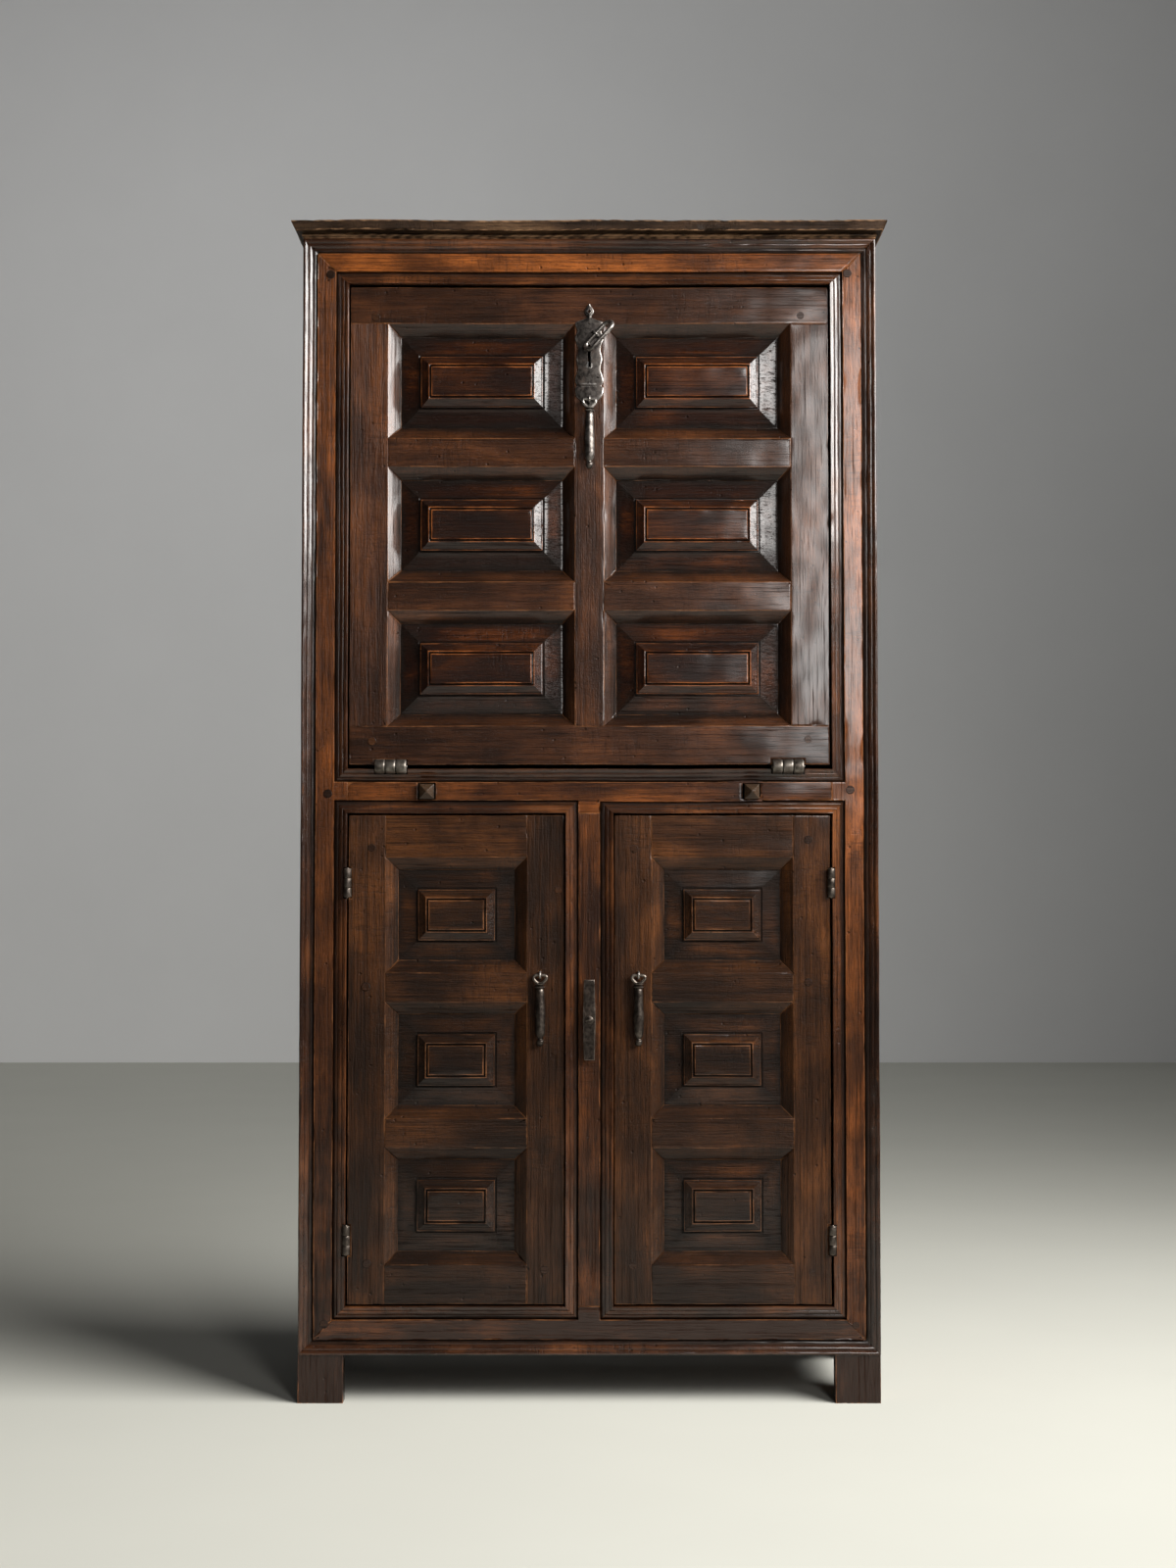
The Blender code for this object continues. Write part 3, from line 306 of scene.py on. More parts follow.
def wood_finish(
    name, deep, body, bright, worn, polish, depth=None, tone=0.6, gloss=0.2, relief=0.7, smoke=0.62
):
    """Old walnut: three colours of figure, the colour of worn arrises and the polish's roughness.

    depth is the pair of Object Y values between which a recess goes from clean to dark, painted as
    dirt and shade, and smoke is how much the cloudy darkening of old wax shows.
    """
    material, tree, shader, place = bare_material(name)
    plank, soot_and_shade = read_from_piece(tree, "plank"), read_from_piece(tree, "soot_and_shade")
    figure = use_effect(
        tree, walnut_figure, place=place, lie=read_from_piece(tree, "lie"), plank=plank
    )
    # Recesses darken from the depth pair inwards, as dirt and painted shade
    if depth:
        y = node_of(tree, "ShaderNodeSeparateXYZ", {0: place})[1]
        soot_and_shade = maths(tree, "MAXIMUM", soot_and_shade, ramp(tree, y, *depth))
    use = use_effect(tree, hard_use, place=place, arris=read_from_piece(tree, "arris"), depth=soot_and_shade)
    streak, line, pore, bare, fleck, ripple = figure
    rubbed, grime_and_shade, dent, smoky = use
    light = scaled(tree, plank, tone, 0.03 - 0.5 * tone)
    light = add_up(tree, light, (streak, 0.42), (bare, 0.52))
    colour = blend(tree, ramp(tree, light, 0.05, 0.55), deep, body)
    colour = blend(tree, ramp(tree, light, 0.45, 1.10), colour, bright)
    # The recess mark lays dirt and painted shade; the other marks are figure, wear, dents and smoke
    for mask, share, tint in (
        (line, 0.50, deep), (pore, 0.30, deep), (fleck, 0.35, deep), (ripple, 0.42, deep),
        (smoky, smoke, deep), (grime_and_shade, 0.90, GRIME_AND_SHADE), (rubbed, 0.72, worn), (dent, 0.55, deep),
    ):
        colour = blend(tree, scaled(tree, mask, share), colour, tint)
    feed(tree, shader["Base Color"], colour)
    rough = ((bare, -0.08), (pore, 0.14), (grime_and_shade, 0.12), (rubbed, -0.05))
    feed(tree, shader["Roughness"], add_up(tree, polish + 0.04, *rough))
    fine = mottle(tree, place, 330.0, 3.0, 0.6)
    hollows = ((line, -0.6), (pore, -0.5), (fleck, -0.35), (ripple, -0.30), (fine, 0.9), (dent, -3.0))
    roughen(tree, shader, add_up(tree, streak, *hollows), relief, 0.0010)
    wax = ((line, -0.6 * gloss), (pore, -0.5 * gloss), (grime_and_shade, -0.5 * gloss))
    feed(tree, shader["Coat Weight"], add_up(tree, gloss, *wax, clamp=True))
    shader["Coat Roughness"].default_value = 0.14
    shader["Specular IOR Level"].default_value = SHEEN
    return material


dry_plank = wood_finish(
    "dry_plank", deep=(0.022, 0.010, 0.005), body=(0.069, 0.029, 0.012), bright=(0.150, 0.067, 0.028),
    worn=(0.190, 0.095, 0.045), polish=0.50, gloss=0.06, smoke=0.26,
)
for side, plank in (("left", 0.35), ("right", 0.62)):
    node = f"side_{side}"
    shape = solid_of(node)
    plane_by_hand(shape, 0.0012, ((1, 0.045), (2, 0.045)))
    put_in_place(shape, f"{side}_side_plank", dry_plank, "case", [node], 1.0, plank)

# Back: five upright boards, set in a rebate of the sides and nailed. Nobody sees them, so they
# are left as they came from the saw.
BACK_BOARDS = 5


def saw(shape, place, normal):
    """Saw straight through and keep what lies behind the cut, which is closed."""
    everything = shape.verts[:] + shape.edges[:] + shape.faces[:]
    done = bmesh.ops.bisect_plane(
        shape, geom=everything, dist=1e-6, plane_co=place, plane_no=normal, clear_outer=True
    )
    rim = [item for item in done["geom_cut"] if isinstance(item, bmesh.types.BMEdge)]
    bmesh.ops.holes_fill(shape, edges=rim, sides=0)
    face_out(shape)


raw_board = wood_finish(
    "raw_board", deep=(0.030, 0.018, 0.011), body=(0.095, 0.053, 0.029), bright=(0.200, 0.120, 0.066),
    worn=(0.210, 0.130, 0.075), polish=0.72, gloss=0.0, relief=0.8, smoke=0.26,
)
back_low, back_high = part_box("back_boards")
board_width = (back_high.x - back_low.x) / BACK_BOARDS
for n in range(BACK_BOARDS):
    shape = solid_of("back_boards")
    if n:
        saw(shape, Vector((back_low.x + n * board_width, 0, 0)), Vector((-1, 0, 0)))
    if n < BACK_BOARDS - 1:
        saw(shape, Vector((back_low.x + (n + 1) * board_width, 0, 0)), Vector((1, 0, 0)))
    plane_by_hand(shape, 0.0008, ((2, 0.04),))
    tone = 0.2 + 0.37 * n % 0.7
    put_in_place(
        shape, f"back_board_{n + 1}", raw_board, "case", ["back_boards"], 1.0, tone
    )

# Boards inside: the floor and the desk board slide in housings of the sides, and a batten under
# the desk board guides the lopers. Plain planed walnut, darkened by use.
inner_board = wood_finish(
    "inner_board", deep=(0.024, 0.013, 0.008), body=(0.085, 0.044, 0.022), bright=(0.180, 0.098, 0.050),
    worn=(0.200, 0.115, 0.060), polish=0.58, gloss=0.03, smoke=0.30,
)
for node, name, plank in (
    ("floor_board", "lower_floor", 0.30),
    ("desk_board", "desk_floor", 0.55),
    ("loper_batten", "loper_guide", 0.40),
):
    shape = solid_of(node)
    plane_by_hand(shape, 0.0008, ((0, 0.03),), 0.0002, 0.0001, 0.0004)
    put_in_place(shape, name, inner_board, "case", [node], 0.0, plank)

# Face frame: posts and rails of walnut, mitred at the corners and tenoned between, planed flat and
# waxed for centuries. The bottom rail runs down into two square feet, sawn off it for their grain.
FACE_Y = -0.195
HALF_CASE = 0.439
FOOT_HEIGHT = 0.073
SAW_KERF = 0.0002
# Below this height the frames are painted darker towards the floor, as shade
UNSHADED_ABOVE = 0.86
ALONG_STEP, ACROSS_STEP = 0.012, 0.005
# Whatever lies behind the face is painted darker by its depth, as dirt and shade
face_wood = wood_finish(
    "face_frame_walnut", deep=(0.0165, 0.0056, 0.0023), body=(0.0936, 0.0292, 0.0078),
    bright=(0.3040, 0.0874, 0.0175), worn=(0.2520, 0.0980, 0.0350), polish=0.36,
    depth=(FACE_Y + 0.002, FACE_Y + 0.012), tone=0.85, gloss=0.70,
)


def frame_member(shape, name, material, body, node, lie, plank, easing=0.0009, shade_towards_floor=0.34):
    """Finish a post, stile or rail; it is painted darker towards the floor, as shade."""
    along, across = (2, 0) if lie else (0, 2)
    plane_by_hand(shape, easing, ((along, ALONG_STEP), (across, ACROSS_STEP)))
    if shade_towards_floor:
        soot_and_shade = marks_on(shape, "soot_and_shade")
        for vert in shape.verts:
            low = min(1.0, max(0.0, (UNSHADED_ABOVE - vert.co.z) / UNSHADED_ABOVE))
            vert[soot_and_shade] = shade_towards_floor * low**0.7
    put_in_place(shape, name, material, body, [node], lie, plank)


for node, name, lie, plank in (
    ("front_post_left", "post_left", 1.0, 0.44),
    ("front_post_right", "post_right", 1.0, 0.86),
    ("top_rail", "rail_top", 0.0, 0.90),
    ("mid_rail", "rail_middle", 0.0, 0.40),
    ("centre_post", "post_centre", 1.0, 0.40),
):
    frame_member(solid_of(node), name, face_wood, "case", node, lie, plank, 0.0011, 0.80)
for name, keep, lie, plank in (("rail_bottom", -1, 0.0, 0.12), ("front_feet", 1, 1.0, -0.14)):
    shape = solid_of("bottom_rail")
    saw(shape, Vector((0, 0, FOOT_HEIGHT - keep * SAW_KERF)), Vector((0, 0, keep)))
    frame_member(shape, name, face_wood, "case", "bottom_rail", lie, plank, 0.0013, None)

# Reeded mouldings: shallow reeds run with a scratch stock down a slope, mitred, let into rebates of
# the frame and glued. The one round the whole front slopes inwards, and those round the fall and the
# doors slope outwards from their openings. The foot of the slope is dark with wax, dust and painted
# shade.
CAD_CROWN_Y = FACE_Y - 0.0060
CROWN_Y = FACE_Y - 0.0056
REED_DEPTH = 0.0035
SLOPE = 0.0100
FIRST_REED = 0.17
FIRST_REED_LEFT, REED_LEFT = 0.7, 0.34
moulding_wood = wood_finish(
    "reeded_walnut", deep=(0.0084, 0.0035, 0.0020), body=(0.0464, 0.0164, 0.0068),
    bright=(0.1615, 0.0544, 0.0170), worn=(0.2080, 0.0840, 0.0320), polish=0.26,
    depth=(CROWN_Y + 0.5 * SLOPE, CROWN_Y + SLOPE), gloss=1.0,
)


def mitred_length(node, side):
    """One straight length of a moulding that runs round a rectangle."""
    low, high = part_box(node)
    corners = {
        "left": ((low.x, low.z, 1, -1), (low.x, high.z, 1, 1)),
        "right": ((high.x, low.z, -1, -1), (high.x, high.z, -1, 1)),
        "lower": ((low.x, low.z, -1, 1), (high.x, low.z, 1, 1)),
        "upper": ((low.x, high.z, -1, -1), (high.x, high.z, 1, -1)),
    }
    away = {"left": (1, 0, 0), "right": (-1, 0, 0), "lower": (0, 0, 1), "upper": (0, 0, -1)}
    shape = solid_of(node)
    for x, z, across, up in corners[side]:
        saw(shape, Vector((x, 0, z)), Vector((across, 0, up)).normalized())
    saw(shape, (low + high) / 2, Vector(away[side]))
    return shape


for node, tone in (
    ("edge_moulding", 0.42), ("fall_opening_moulding", 0.62),
    ("left_door_moulding", 0.50), ("right_door_moulding", 0.56),
):
    for n, side in enumerate(("left", "right", "lower", "upper")):
        shape = mitred_length(node, side)
        lie = float(side in ("left", "right"))
        along, across = (2, 0) if lie else (0, 2)
        slice_across(shape, along, 0.010)
        spots = [vert.co[across] for vert in shape.verts]
        inner, outer = sorted((min(spots), max(spots)), reverse=side in ("left", "lower"))
        foot, top = (inner, outer) if node == "edge_moulding" else (outer, inner)
        arris = marks_on(shape, "arris")
        for vert in shape.verts:
            if vert.co.y < FACE_Y - 0.001:
                down = (vert.co[across] - top) / (foot - top)
                reed = min(vert.co.y - CAD_CROWN_Y, REED_DEPTH)
                left = REED_LEFT if down > FIRST_REED else FIRST_REED_LEFT
                vert.co.y = CROWN_Y + SLOPE * down + left * reed
                # Reed crowns are rubbed pale, palest at the crest: wear, and partly a painted highlight
                vert[arris] = 0.75 * (1 - reed / REED_DEPTH) * (1 - 0.7 * down)
        work_by_hand(shape, knock=0.0030)
        put_in_place(
            shape, f"{node}_{side}", moulding_wood, "case", [node], lie,
            tone + 0.07 * n, 62,
        )

# Cornice: one board with a moulded front and ends, nailed down on the case. Its upper edge takes
# the knocks, so it is worn pale and ragged.
cornice_wood = wood_finish(
    "cornice_walnut", deep=(0.0096, 0.0056, 0.0034), body=(0.0400, 0.0216, 0.0116),
    bright=(0.1120, 0.0624, 0.0320), worn=(0.2850, 0.1615, 0.0855), polish=0.50, tone=0.8, gloss=0.04,
)
CORNICE_CUT_BACK = 0.011
shape = solid_of("cornice")
plane_by_hand(shape, 0.0010, ((0, 0.009), (1, 0.03)), 0.0018, 0.0007, 0.0042)
cornice_low, cornice_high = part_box("cornice")
for vert in shape.verts:
    over = max(0.0, abs(vert.co.x) - HALF_CASE) / (cornice_high.x - HALF_CASE)
    below = (cornice_high.z - vert.co.z) / (cornice_high.z - cornice_low.z)
    vert.co.x -= math.copysign(CORNICE_CUT_BACK * over * below, vert.co.x)
put_in_place(shape, "cornice_board", cornice_wood, "case", ["cornice"], 0.0, 0.52)

# Lopers: square bars of hard walnut that draw out to carry the open fall. Their heads are cut to a
# blunt point, blackened where fingers pull them.
RUNNING_FIT = 0.94
loper_wood = wood_finish(
    "loper_walnut", deep=(0.0042, 0.0029, 0.0022), body=(0.0097, 0.0053, 0.0033),
    bright=(0.0270, 0.0135, 0.0067), worn=(0.0560, 0.0320, 0.0176), polish=0.30, gloss=0.45,
)
for side in ("left", "right"):
    node = f"{side}_loper"
    shape = solid_of(node)
    plane_by_hand(shape, 0.0010, ((1, 0.02),), 0.0001, 0.0001, 0.0006)
    loper_low, loper_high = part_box(node)
    middle = (loper_low + loper_high) / 2
    for vert in shape.verts:
        vert.co.x = middle.x + RUNNING_FIT * (vert.co.x - middle.x)
        vert.co.z = middle.z + RUNNING_FIT * (vert.co.z - middle.z)
    put_in_place(shape, f"loper_bar_{side}", loper_wood, node, [node], 0.0, 0.4)

# Doors: stiles the full height, rails tenoned and pegged between them, every opening chamfered
# and mitred as picture frames are. Browner than the fall, and painted darker low down, as shade
# towards the floor.
HAIRLINE = 0.0003
CHAMFER = 0.019
EAR = CHAMFER + 0.004
BEYOND = 0.02
DOOR_STILE = 0.056
DOOR_RAILS = {"upper": 0.0635, "lower": 0.0585}
DOOR_CROSS = 0.0445
PANEL_ROWS = 3
# The chamfers are painted darker into the openings, as dirt and shade
door_wood = wood_finish(
    "door_walnut", deep=(0.0097, 0.0041, 0.0018), body=(0.0420, 0.0151, 0.0050),
    bright=(0.1204, 0.0413, 0.0112), worn=(0.1540, 0.0616, 0.0224), polish=0.42,
    depth=(FACE_Y + 0.0065, FACE_Y + 0.016), gloss=0.42,
)


def result_of(item):
    """The mesh that an object's modifiers make of it."""
    graph = bpy.context.evaluated_depsgraph_get()
    return bpy.data.meshes.new_from_object(item.evaluated_get(graph))


def carve(shape, tool, way, weld=5e-5):
    """Cut one shape with another by a Boolean; both are used up."""
    pair = []
    for label, part in (("stock", shape), ("tool", tool)):
        mesh = bpy.data.meshes.new(label)
        part.to_mesh(mesh)
        part.free()
        pair.append(stand(label, mesh))
    step = pair[0].modifiers.new("carve", "BOOLEAN")
    step.operation = way
    step.object = pair[1]
    left = bmesh.new()
    left.from_mesh(result_of(pair[0]))
    for item in pair:
        bpy.data.objects.remove(item)
    bmesh.ops.remove_doubles(left, verts=left.verts[:], dist=weld)
    return left


def loft(shape, rings, closed=False):
    """Skin a stack of rings of points; the ends are capped, or the last ring meets the first."""
    loops = [[shape.verts.new(point) for point in ring] for ring in rings]
    pairs = list(zip(loops, loops[1:]))
    if closed:
        pairs.append((loops[-1], loops[0]))
    else:
        shape.faces.new(loops[0][::-1])
        shape.faces.new(loops[-1])
    for near, far in pairs:
        for i in range(len(near)):
            shape.faces.new((near[i - 1], near[i], far[i], far[i - 1]))


def prism(outline, near, far):
    """A front-view outline of (x, z) as a solid between two depths."""
    shape = bmesh.new()
    loft(shape, [[(x, y, z) for x, z in outline] for y in (near, far)])
    face_out(shape)
    return shape


def sawn_to(node, outline):
    """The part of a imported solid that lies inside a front-view outline."""
    return make_flats_whole(carve(solid_of(node), prism(outline, -0.3, 0.3), "INTERSECT"))


def even_rows(low, high, cross):
    """Where the chamfered openings begin and end, from the top down."""
    tall = (high - low - (PANEL_ROWS - 1) * cross) / PANEL_ROWS
    tops = [high - n * (tall + cross) for n in range(PANEL_ROWS)]
    return [(top - tall, top) for top in tops]


def stile_outline(outer, edge, way, low, high, rows):
    """A stile whose chamfered lips are mitred at each opening; way points into the opening."""
    back = edge - way * HAIRLINE
    outline = [(outer, low), (outer, high), (back, high)]
    for bottom, top in rows:
        outline += [(back, top), (edge + way * EAR, top - EAR - HAIRLINE)]
        outline += [(edge + way * EAR, bottom + EAR + HAIRLINE), (back, bottom)]
    return outline + [(back, low)]


def rail_outline(left, right, above, below):
    """A rail between stiles; above and below are its edges, each with whether an opening is there."""
    lip = EAR + HAIRLINE
    (top, lip_above), (bottom, lip_below) = above, below
    outline = [(left, top)]
    if lip_above:
        outline += [(left + lip, top + lip), (right - lip, top + lip)]
    outline += [(right, top), (right, bottom)]
    if lip_below:
        outline += [(right - lip, bottom - lip), (left + lip, bottom - lip)]
    return outline + [(left, bottom)]


door_tones = {"left": (0.44, 0.30, 0.62, 0.34), "right": (0.60, 0.66, 0.70, 0.40)}
for door, (first, second, upper, rest) in door_tones.items():
    node, body = f"{door}_door_frame", f"{door}_door"
    low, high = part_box(node)
    left, right = low.x + DOOR_STILE, high.x - DOOR_STILE
    rows = even_rows(low.z + DOOR_RAILS["lower"], high.z - DOOR_RAILS["upper"], DOOR_CROSS)
    floor_z, head_z = low.z - BEYOND, high.z + BEYOND
    members = []
    for side, edge, outer, way, plank in (
        ("left", left, low.x - BEYOND, 1, first), ("right", right, high.x + BEYOND, -1, second)
    ):
        outline = stile_outline(outer, edge, way, floor_z, head_z, rows)
        members.append((f"stile_{side}", outline, 1.0, plank))
    edges = [((head_z, False), (rows[0][1] + HAIRLINE, True), upper)]
    for n in range(PANEL_ROWS - 1):
        above, below = rows[n][0] - HAIRLINE, rows[n + 1][1] + HAIRLINE
        edges.append(((above, True), (below, True), rest + 0.09 * n))
    edges.append(((rows[-1][0] - HAIRLINE, True), (floor_z, False), rest * 0.6))
    for n, (above, below, plank) in enumerate(edges):
        members.append((f"rail_{n + 1}", rail_outline(left, right, above, below), 0.0, plank))
    for name, outline, lie, plank in members:
        frame_member(sawn_to(node, outline), f"{door}_door_{name}", door_wood, body, node, lie, plank)

# Door panels: one board each, planed to a margin that rises to a stepped and mitred block with a
# groove cut round its flat field. Wax, soot and painted shade lie in every corner, at the foot of the
# block and in its groove, and the arrises are rubbed bare.
TONGUE = 0.007
MARGIN_SHARE = 0.2155
BLOCK_SHARE = 0.1293
BLOCK_FOOT, BLOCK_RISE = FACE_Y + 0.0128, 0.0115
CORNER_SOOT_AND_SHADE = 0.045
PANEL_STEP = 0.010
door_panel_wood = wood_finish(
    "door_panel_walnut", deep=(0.0059, 0.0027, 0.0014), body=(0.0296, 0.0111, 0.0041),
    bright=(0.1025, 0.0344, 0.0098), worn=(0.1760, 0.0720, 0.0288), polish=0.36, gloss=0.60, relief=0.6,
)
# The margin's section from outside in, as (share of its width, soot and painted shade), and the
# block's, as (share of its width, share of its rise, arris, soot and painted shade)
MARGIN_SECTION = ((0.12, 0.75), (0.35, 0.12), (0.60, 0.08), (0.78, 0.15))
BLOCK_SECTION = (
    (-0.16, 0.000, 0.0, 0.6), (-0.10, -0.09, 0.0, 1.0), (0.000, -0.09, 0.0, 1.0),
    (0.015, 0.220, 0.0, 1.0), (0.030, 0.300, 0.7, 0.1), (0.060, 0.330, 1.0, 0.0),
    (0.110, 0.340, 0.5, 0.2), (0.150, 0.350, 0.0, 1.0), (0.170, 0.380, 0.0, 1.0),
    (0.195, 0.410, 0.6, 0.1), (0.250, 0.445, 0.4, 0.2), (0.350, 0.510, 0.0, 0.3),
    (0.450, 0.590, 0.0, 0.3), (0.550, 0.690, 0.0, 0.2), (0.635, 0.815, 0.3, 0.1),
    (0.690, 0.885, 0.9, 0.0), (0.730, 0.910, 1.0, 0.0), (0.770, 0.905, 0.8, 0.0),
    (0.800, 0.860, 0.2, 0.7), (0.820, 0.700, 0.0, 1.0), (0.845, 0.640, 0.0, 1.0),
    (0.885, 0.650, 0.0, 1.0), (0.905, 0.780, 0.0, 0.9), (0.925, 0.930, 0.6, 0.1),
    (0.950, 0.985, 1.0, 0.0), (1.000, 1.000, 0.95, 0.0), (1.080, 1.000, 0.5, 0.1),
    (1.300, 1.000, 0.0, 0.35),
)


def raised_panel(node, name, material, body, back, tone):
    """Build a panel from rings and hang it; back is the depth of its tongue."""
    low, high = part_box(node)
    clear = high.z - low.z - 2 * TONGUE
    margin, width = MARGIN_SHARE * clear, BLOCK_SHARE * clear
    rings = [(0.0, high.y, 0.0, 1.0), (0.0, back, 0.0, 1.0), (TONGUE, back, 0.0, 1.0)]
    for share, soot_and_shade in MARGIN_SECTION:
        rings.append((TONGUE + margin * share, back + (BLOCK_FOOT - back) * share, 0.0, soot_and_shade))
    for across, lift, arris, soot_and_shade in BLOCK_SECTION:
        rings.append((TONGUE + margin + width * across, BLOCK_FOOT - BLOCK_RISE * lift, arris, soot_and_shade))
    shape = bmesh.new()
    layers = [marks_on(shape, label) for label in ("arris", "soot_and_shade")]
    loops = []
    for inward, depth, *marks in rings:
        left, right, bottom, top = low.x + inward, high.x - inward, low.z + inward, high.z - inward
        loop = []
        for x, z in ((left, bottom), (right, bottom), (right, top), (left, top)):
            loop.append(shape.verts.new((x, depth, z)))
            for layer, mark in zip(layers, marks):
                loop[-1][layer] = mark
        loops.append(loop)
    shape.faces.new(loops[0])
    shape.faces.new(loops[-1])
    for outer, inner in zip(loops, loops[1:]):
        for i in range(4):
            shape.faces.new((outer[i - 1], outer[i], inner[i], inner[i - 1]))
            shape.edges.get((outer[i], inner[i])).seam = True
    face_out(shape)
    slice_across(shape, 0, PANEL_STEP)
    slice_across(shape, 2, PANEL_STEP)
    # The margin is painted darker along its mitres towards the corners, as soot and shade
    for vert in shape.verts:
        if vert.co.y > BLOCK_FOOT - 1e-6:
            in_x = min(vert.co.x - low.x, high.x - vert.co.x)
            in_z = min(vert.co.z - low.z, high.z - vert.co.z)
            vert[layers[1]] = max(vert[layers[1]], 0.9 - abs(in_x - in_z) / CORNER_SOOT_AND_SHADE)
    work_by_hand(shape, knock=0.0022)
    put_in_place(shape, name, material, body, [node], 0.0, tone, 24)


for door, lighter in (("left", 0.0), ("right", 0.08)):
    for n, tone in enumerate((0.50, 0.42, 0.36), 1):
        raised_panel(
            f"{door}_door_panel_{n}", f"{door}_door_field_{n}", door_panel_wood, f"{door}_door",
            FACE_Y + 0.0143, tone + lighter,
        )

# Fall front: full-width rails, stiles and a muntin with cross rails, made as the doors are but
# thicker, redder and higher in polish, because it is the writing flap that hands touch. The muntin
# has a pocket for the key.
FALL_STILE = 0.0575
FALL_MUNTIN = 0.0446
FALL_RAILS = {"upper": 0.0555, "lower": 0.0585}
FALL_CROSS = 0.0437
KEY_POCKET, KEY_POCKET_Z = Vector((0.0084, 0.0280, 0.0390)), 1.5890
# The chamfers are painted darker into the openings, as dirt and shade
fall_wood = wood_finish(
    "fall_front_walnut", deep=(0.0115, 0.0047, 0.0024), body=(0.0512, 0.0188, 0.0080),
    bright=(0.1400, 0.0472, 0.0152), worn=(0.1624, 0.0638, 0.0232), polish=0.33,
    depth=(FACE_Y + 0.0060, FACE_Y + 0.0200), gloss=0.82,
)
for node, name, lie, plank in (
    ("fall_top_rail", "fall_rail_upper", 0.0, 0.42),
    ("fall_bottom_rail", "fall_rail_lower", 0.0, 0.30),
    ("fall_stile_left", "fall_left_stile", 1.0, 0.64),
    ("fall_stile_right", "fall_right_stile", 1.0, 0.52),
):
    frame_member(solid_of(node), name, fall_wood, "fall_front", node, lie, plank)
lattice = "fall_muntin_and_cross_rails"
fall_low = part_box("fall_bottom_rail")[0].z + FALL_RAILS["lower"]
fall_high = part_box("fall_top_rail")[1].z - FALL_RAILS["upper"]
fall_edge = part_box("fall_top_rail")[1].x - FALL_STILE
fall_rows = even_rows(fall_low, fall_high, FALL_CROSS)
half_muntin = FALL_MUNTIN / 2
lip_side = stile_outline(0.0, half_muntin, 1, fall_low, fall_high, fall_rows)[2:]
muntin = [(-x, z) for x, z in lip_side[::-1]] + lip_side
key_pocket = bmesh.new()
bmesh.ops.create_cube(key_pocket, size=1.0)
for vert in key_pocket.verts:
    vert.co = KEY_POCKET * vert.co + Vector((0, FACE_Y, KEY_POCKET_Z))
shape = carve(sawn_to(lattice, muntin), key_pocket, "DIFFERENCE")
frame_member(shape, "fall_muntin", fall_wood, "fall_front", lattice, 1.0, 0.58)
for side, left, right, plank in (
    ("left", -fall_edge, -half_muntin, 0.50), ("right", half_muntin, fall_edge, 0.38)
):
    for n in range(PANEL_ROWS - 1):
        top, bottom = fall_rows[n][0] - HAIRLINE, fall_rows[n + 1][1] + HAIRLINE
        shape = sawn_to(lattice, rail_outline(left, right, (top, True), (bottom, True)))
        name = f"fall_cross_rail_{side}_{n + 1}"
        frame_member(shape, name, fall_wood, "fall_front", lattice, 0.0, plank + 0.11 * n)

# Fall panels: six of them, wider than those of the doors, in a redder walnut with a lively figure,
# waxed to a shine, with the block's arrises rubbed to orange.
fall_panel_wood = wood_finish(
    "fall_panel_walnut", deep=(0.0056, 0.0021, 0.0013), body=(0.0231, 0.0067, 0.0027),
    bright=(0.1156, 0.0320, 0.0075), worn=(0.2706, 0.0853, 0.0230), polish=0.28, gloss=0.88,
    relief=0.65,
)
for side, lighter in (("left", 0.0), ("right", 0.10)):
    for n, tone in enumerate((0.55, 0.48, 0.62), 1):
        raised_panel(
            f"fall_panel_{side}_{n}", f"fall_field_{side}_{n}", fall_panel_wood, "fall_front",
            FACE_Y + 0.0193, tone + lighter,
        )

# Hinges: iron barrels of three knuckles rolled on a pin, with leaves let into the gap and hidden
# there. Two stout ones carry the fall and four slim ones the doors. Filed, oiled, and rubbed
# bright on the crowns.
IRON_SOOT = (0.006, 0.005, 0.0045)
FULL_CROWN, HAMMERED = 0.5, 150.0
KNUCKLES, KNUCKLE_GAP = 3, 0.0004
LEAF_DEPTH = 0.024
PIN_RADIUS, PLAY = 0.0022, 0.0003
# The round of a knuckle's end, as (distance, share of the radius), and of the pin's, with its radius
END_LENGTH = 0.45
ROUNDED_END = ((0.0, 0.80), (0.10, 0.90), (0.25, 0.97), (END_LENGTH, 1.0))
PIN_END = ((0, 0.0012), (0.0004, 0.0019), (PIN_RADIUS / 2, PIN_RADIUS))
# Each kind's pin for the right side, and its length, radius, leaf thickness and half gap
FALL_PIN = Vector((0.302, FACE_Y - 0.005, 0.95925))
FALL_BARREL = (0.048, 0.0110, 0.0020, 0.00325)
DOOR_PIN_X, DOOR_PIN_Y, DOOR_PINS_Z = 0.367, FACE_Y - 0.004, {"upper": 0.7825, "lower": 0.244}
DOOR_BARREL = (0.044, 0.006, 0.0011, 0.0015)
SIDES = (("left", -1), ("right", 1))
forge_marks, takes, gives = effect(
    "forge_marks",
    {"Place": "Vector", "Arris": "Float"},
    {name: "Float" for name in ("Rubbed", "Scale", "Rust", "Blow")},
)
t = forge_marks
rubbing = mottle(t, takes["Place"], 75.0, 5.0, 0.62)
near = scaled(t, takes["Arris"], 0.80, -0.88)
feed(t, gives["Rubbed"], ramp(t, scaled(t, rubbing, 1.25, near), 0.0, 0.55))
feed(t, gives["Scale"], ramp(t, mottle(t, takes["Place"], 210.0, 4.0, 0.6), 0.34, 0.66))
feed(t, gives["Rust"], ramp(t, mottle(t, takes["Place"], 48.0, 5.0, 0.65, 0.6), 0.52, 0.70))
recipe = {"Vector": takes["Place"], "Scale": 120.0, "Smoothness": 0.8}
blows = node_of(t, "ShaderNodeTexVoronoi", recipe, feature="SMOOTH_F1")
feed(t, gives["Blow"], blows["Distance"])


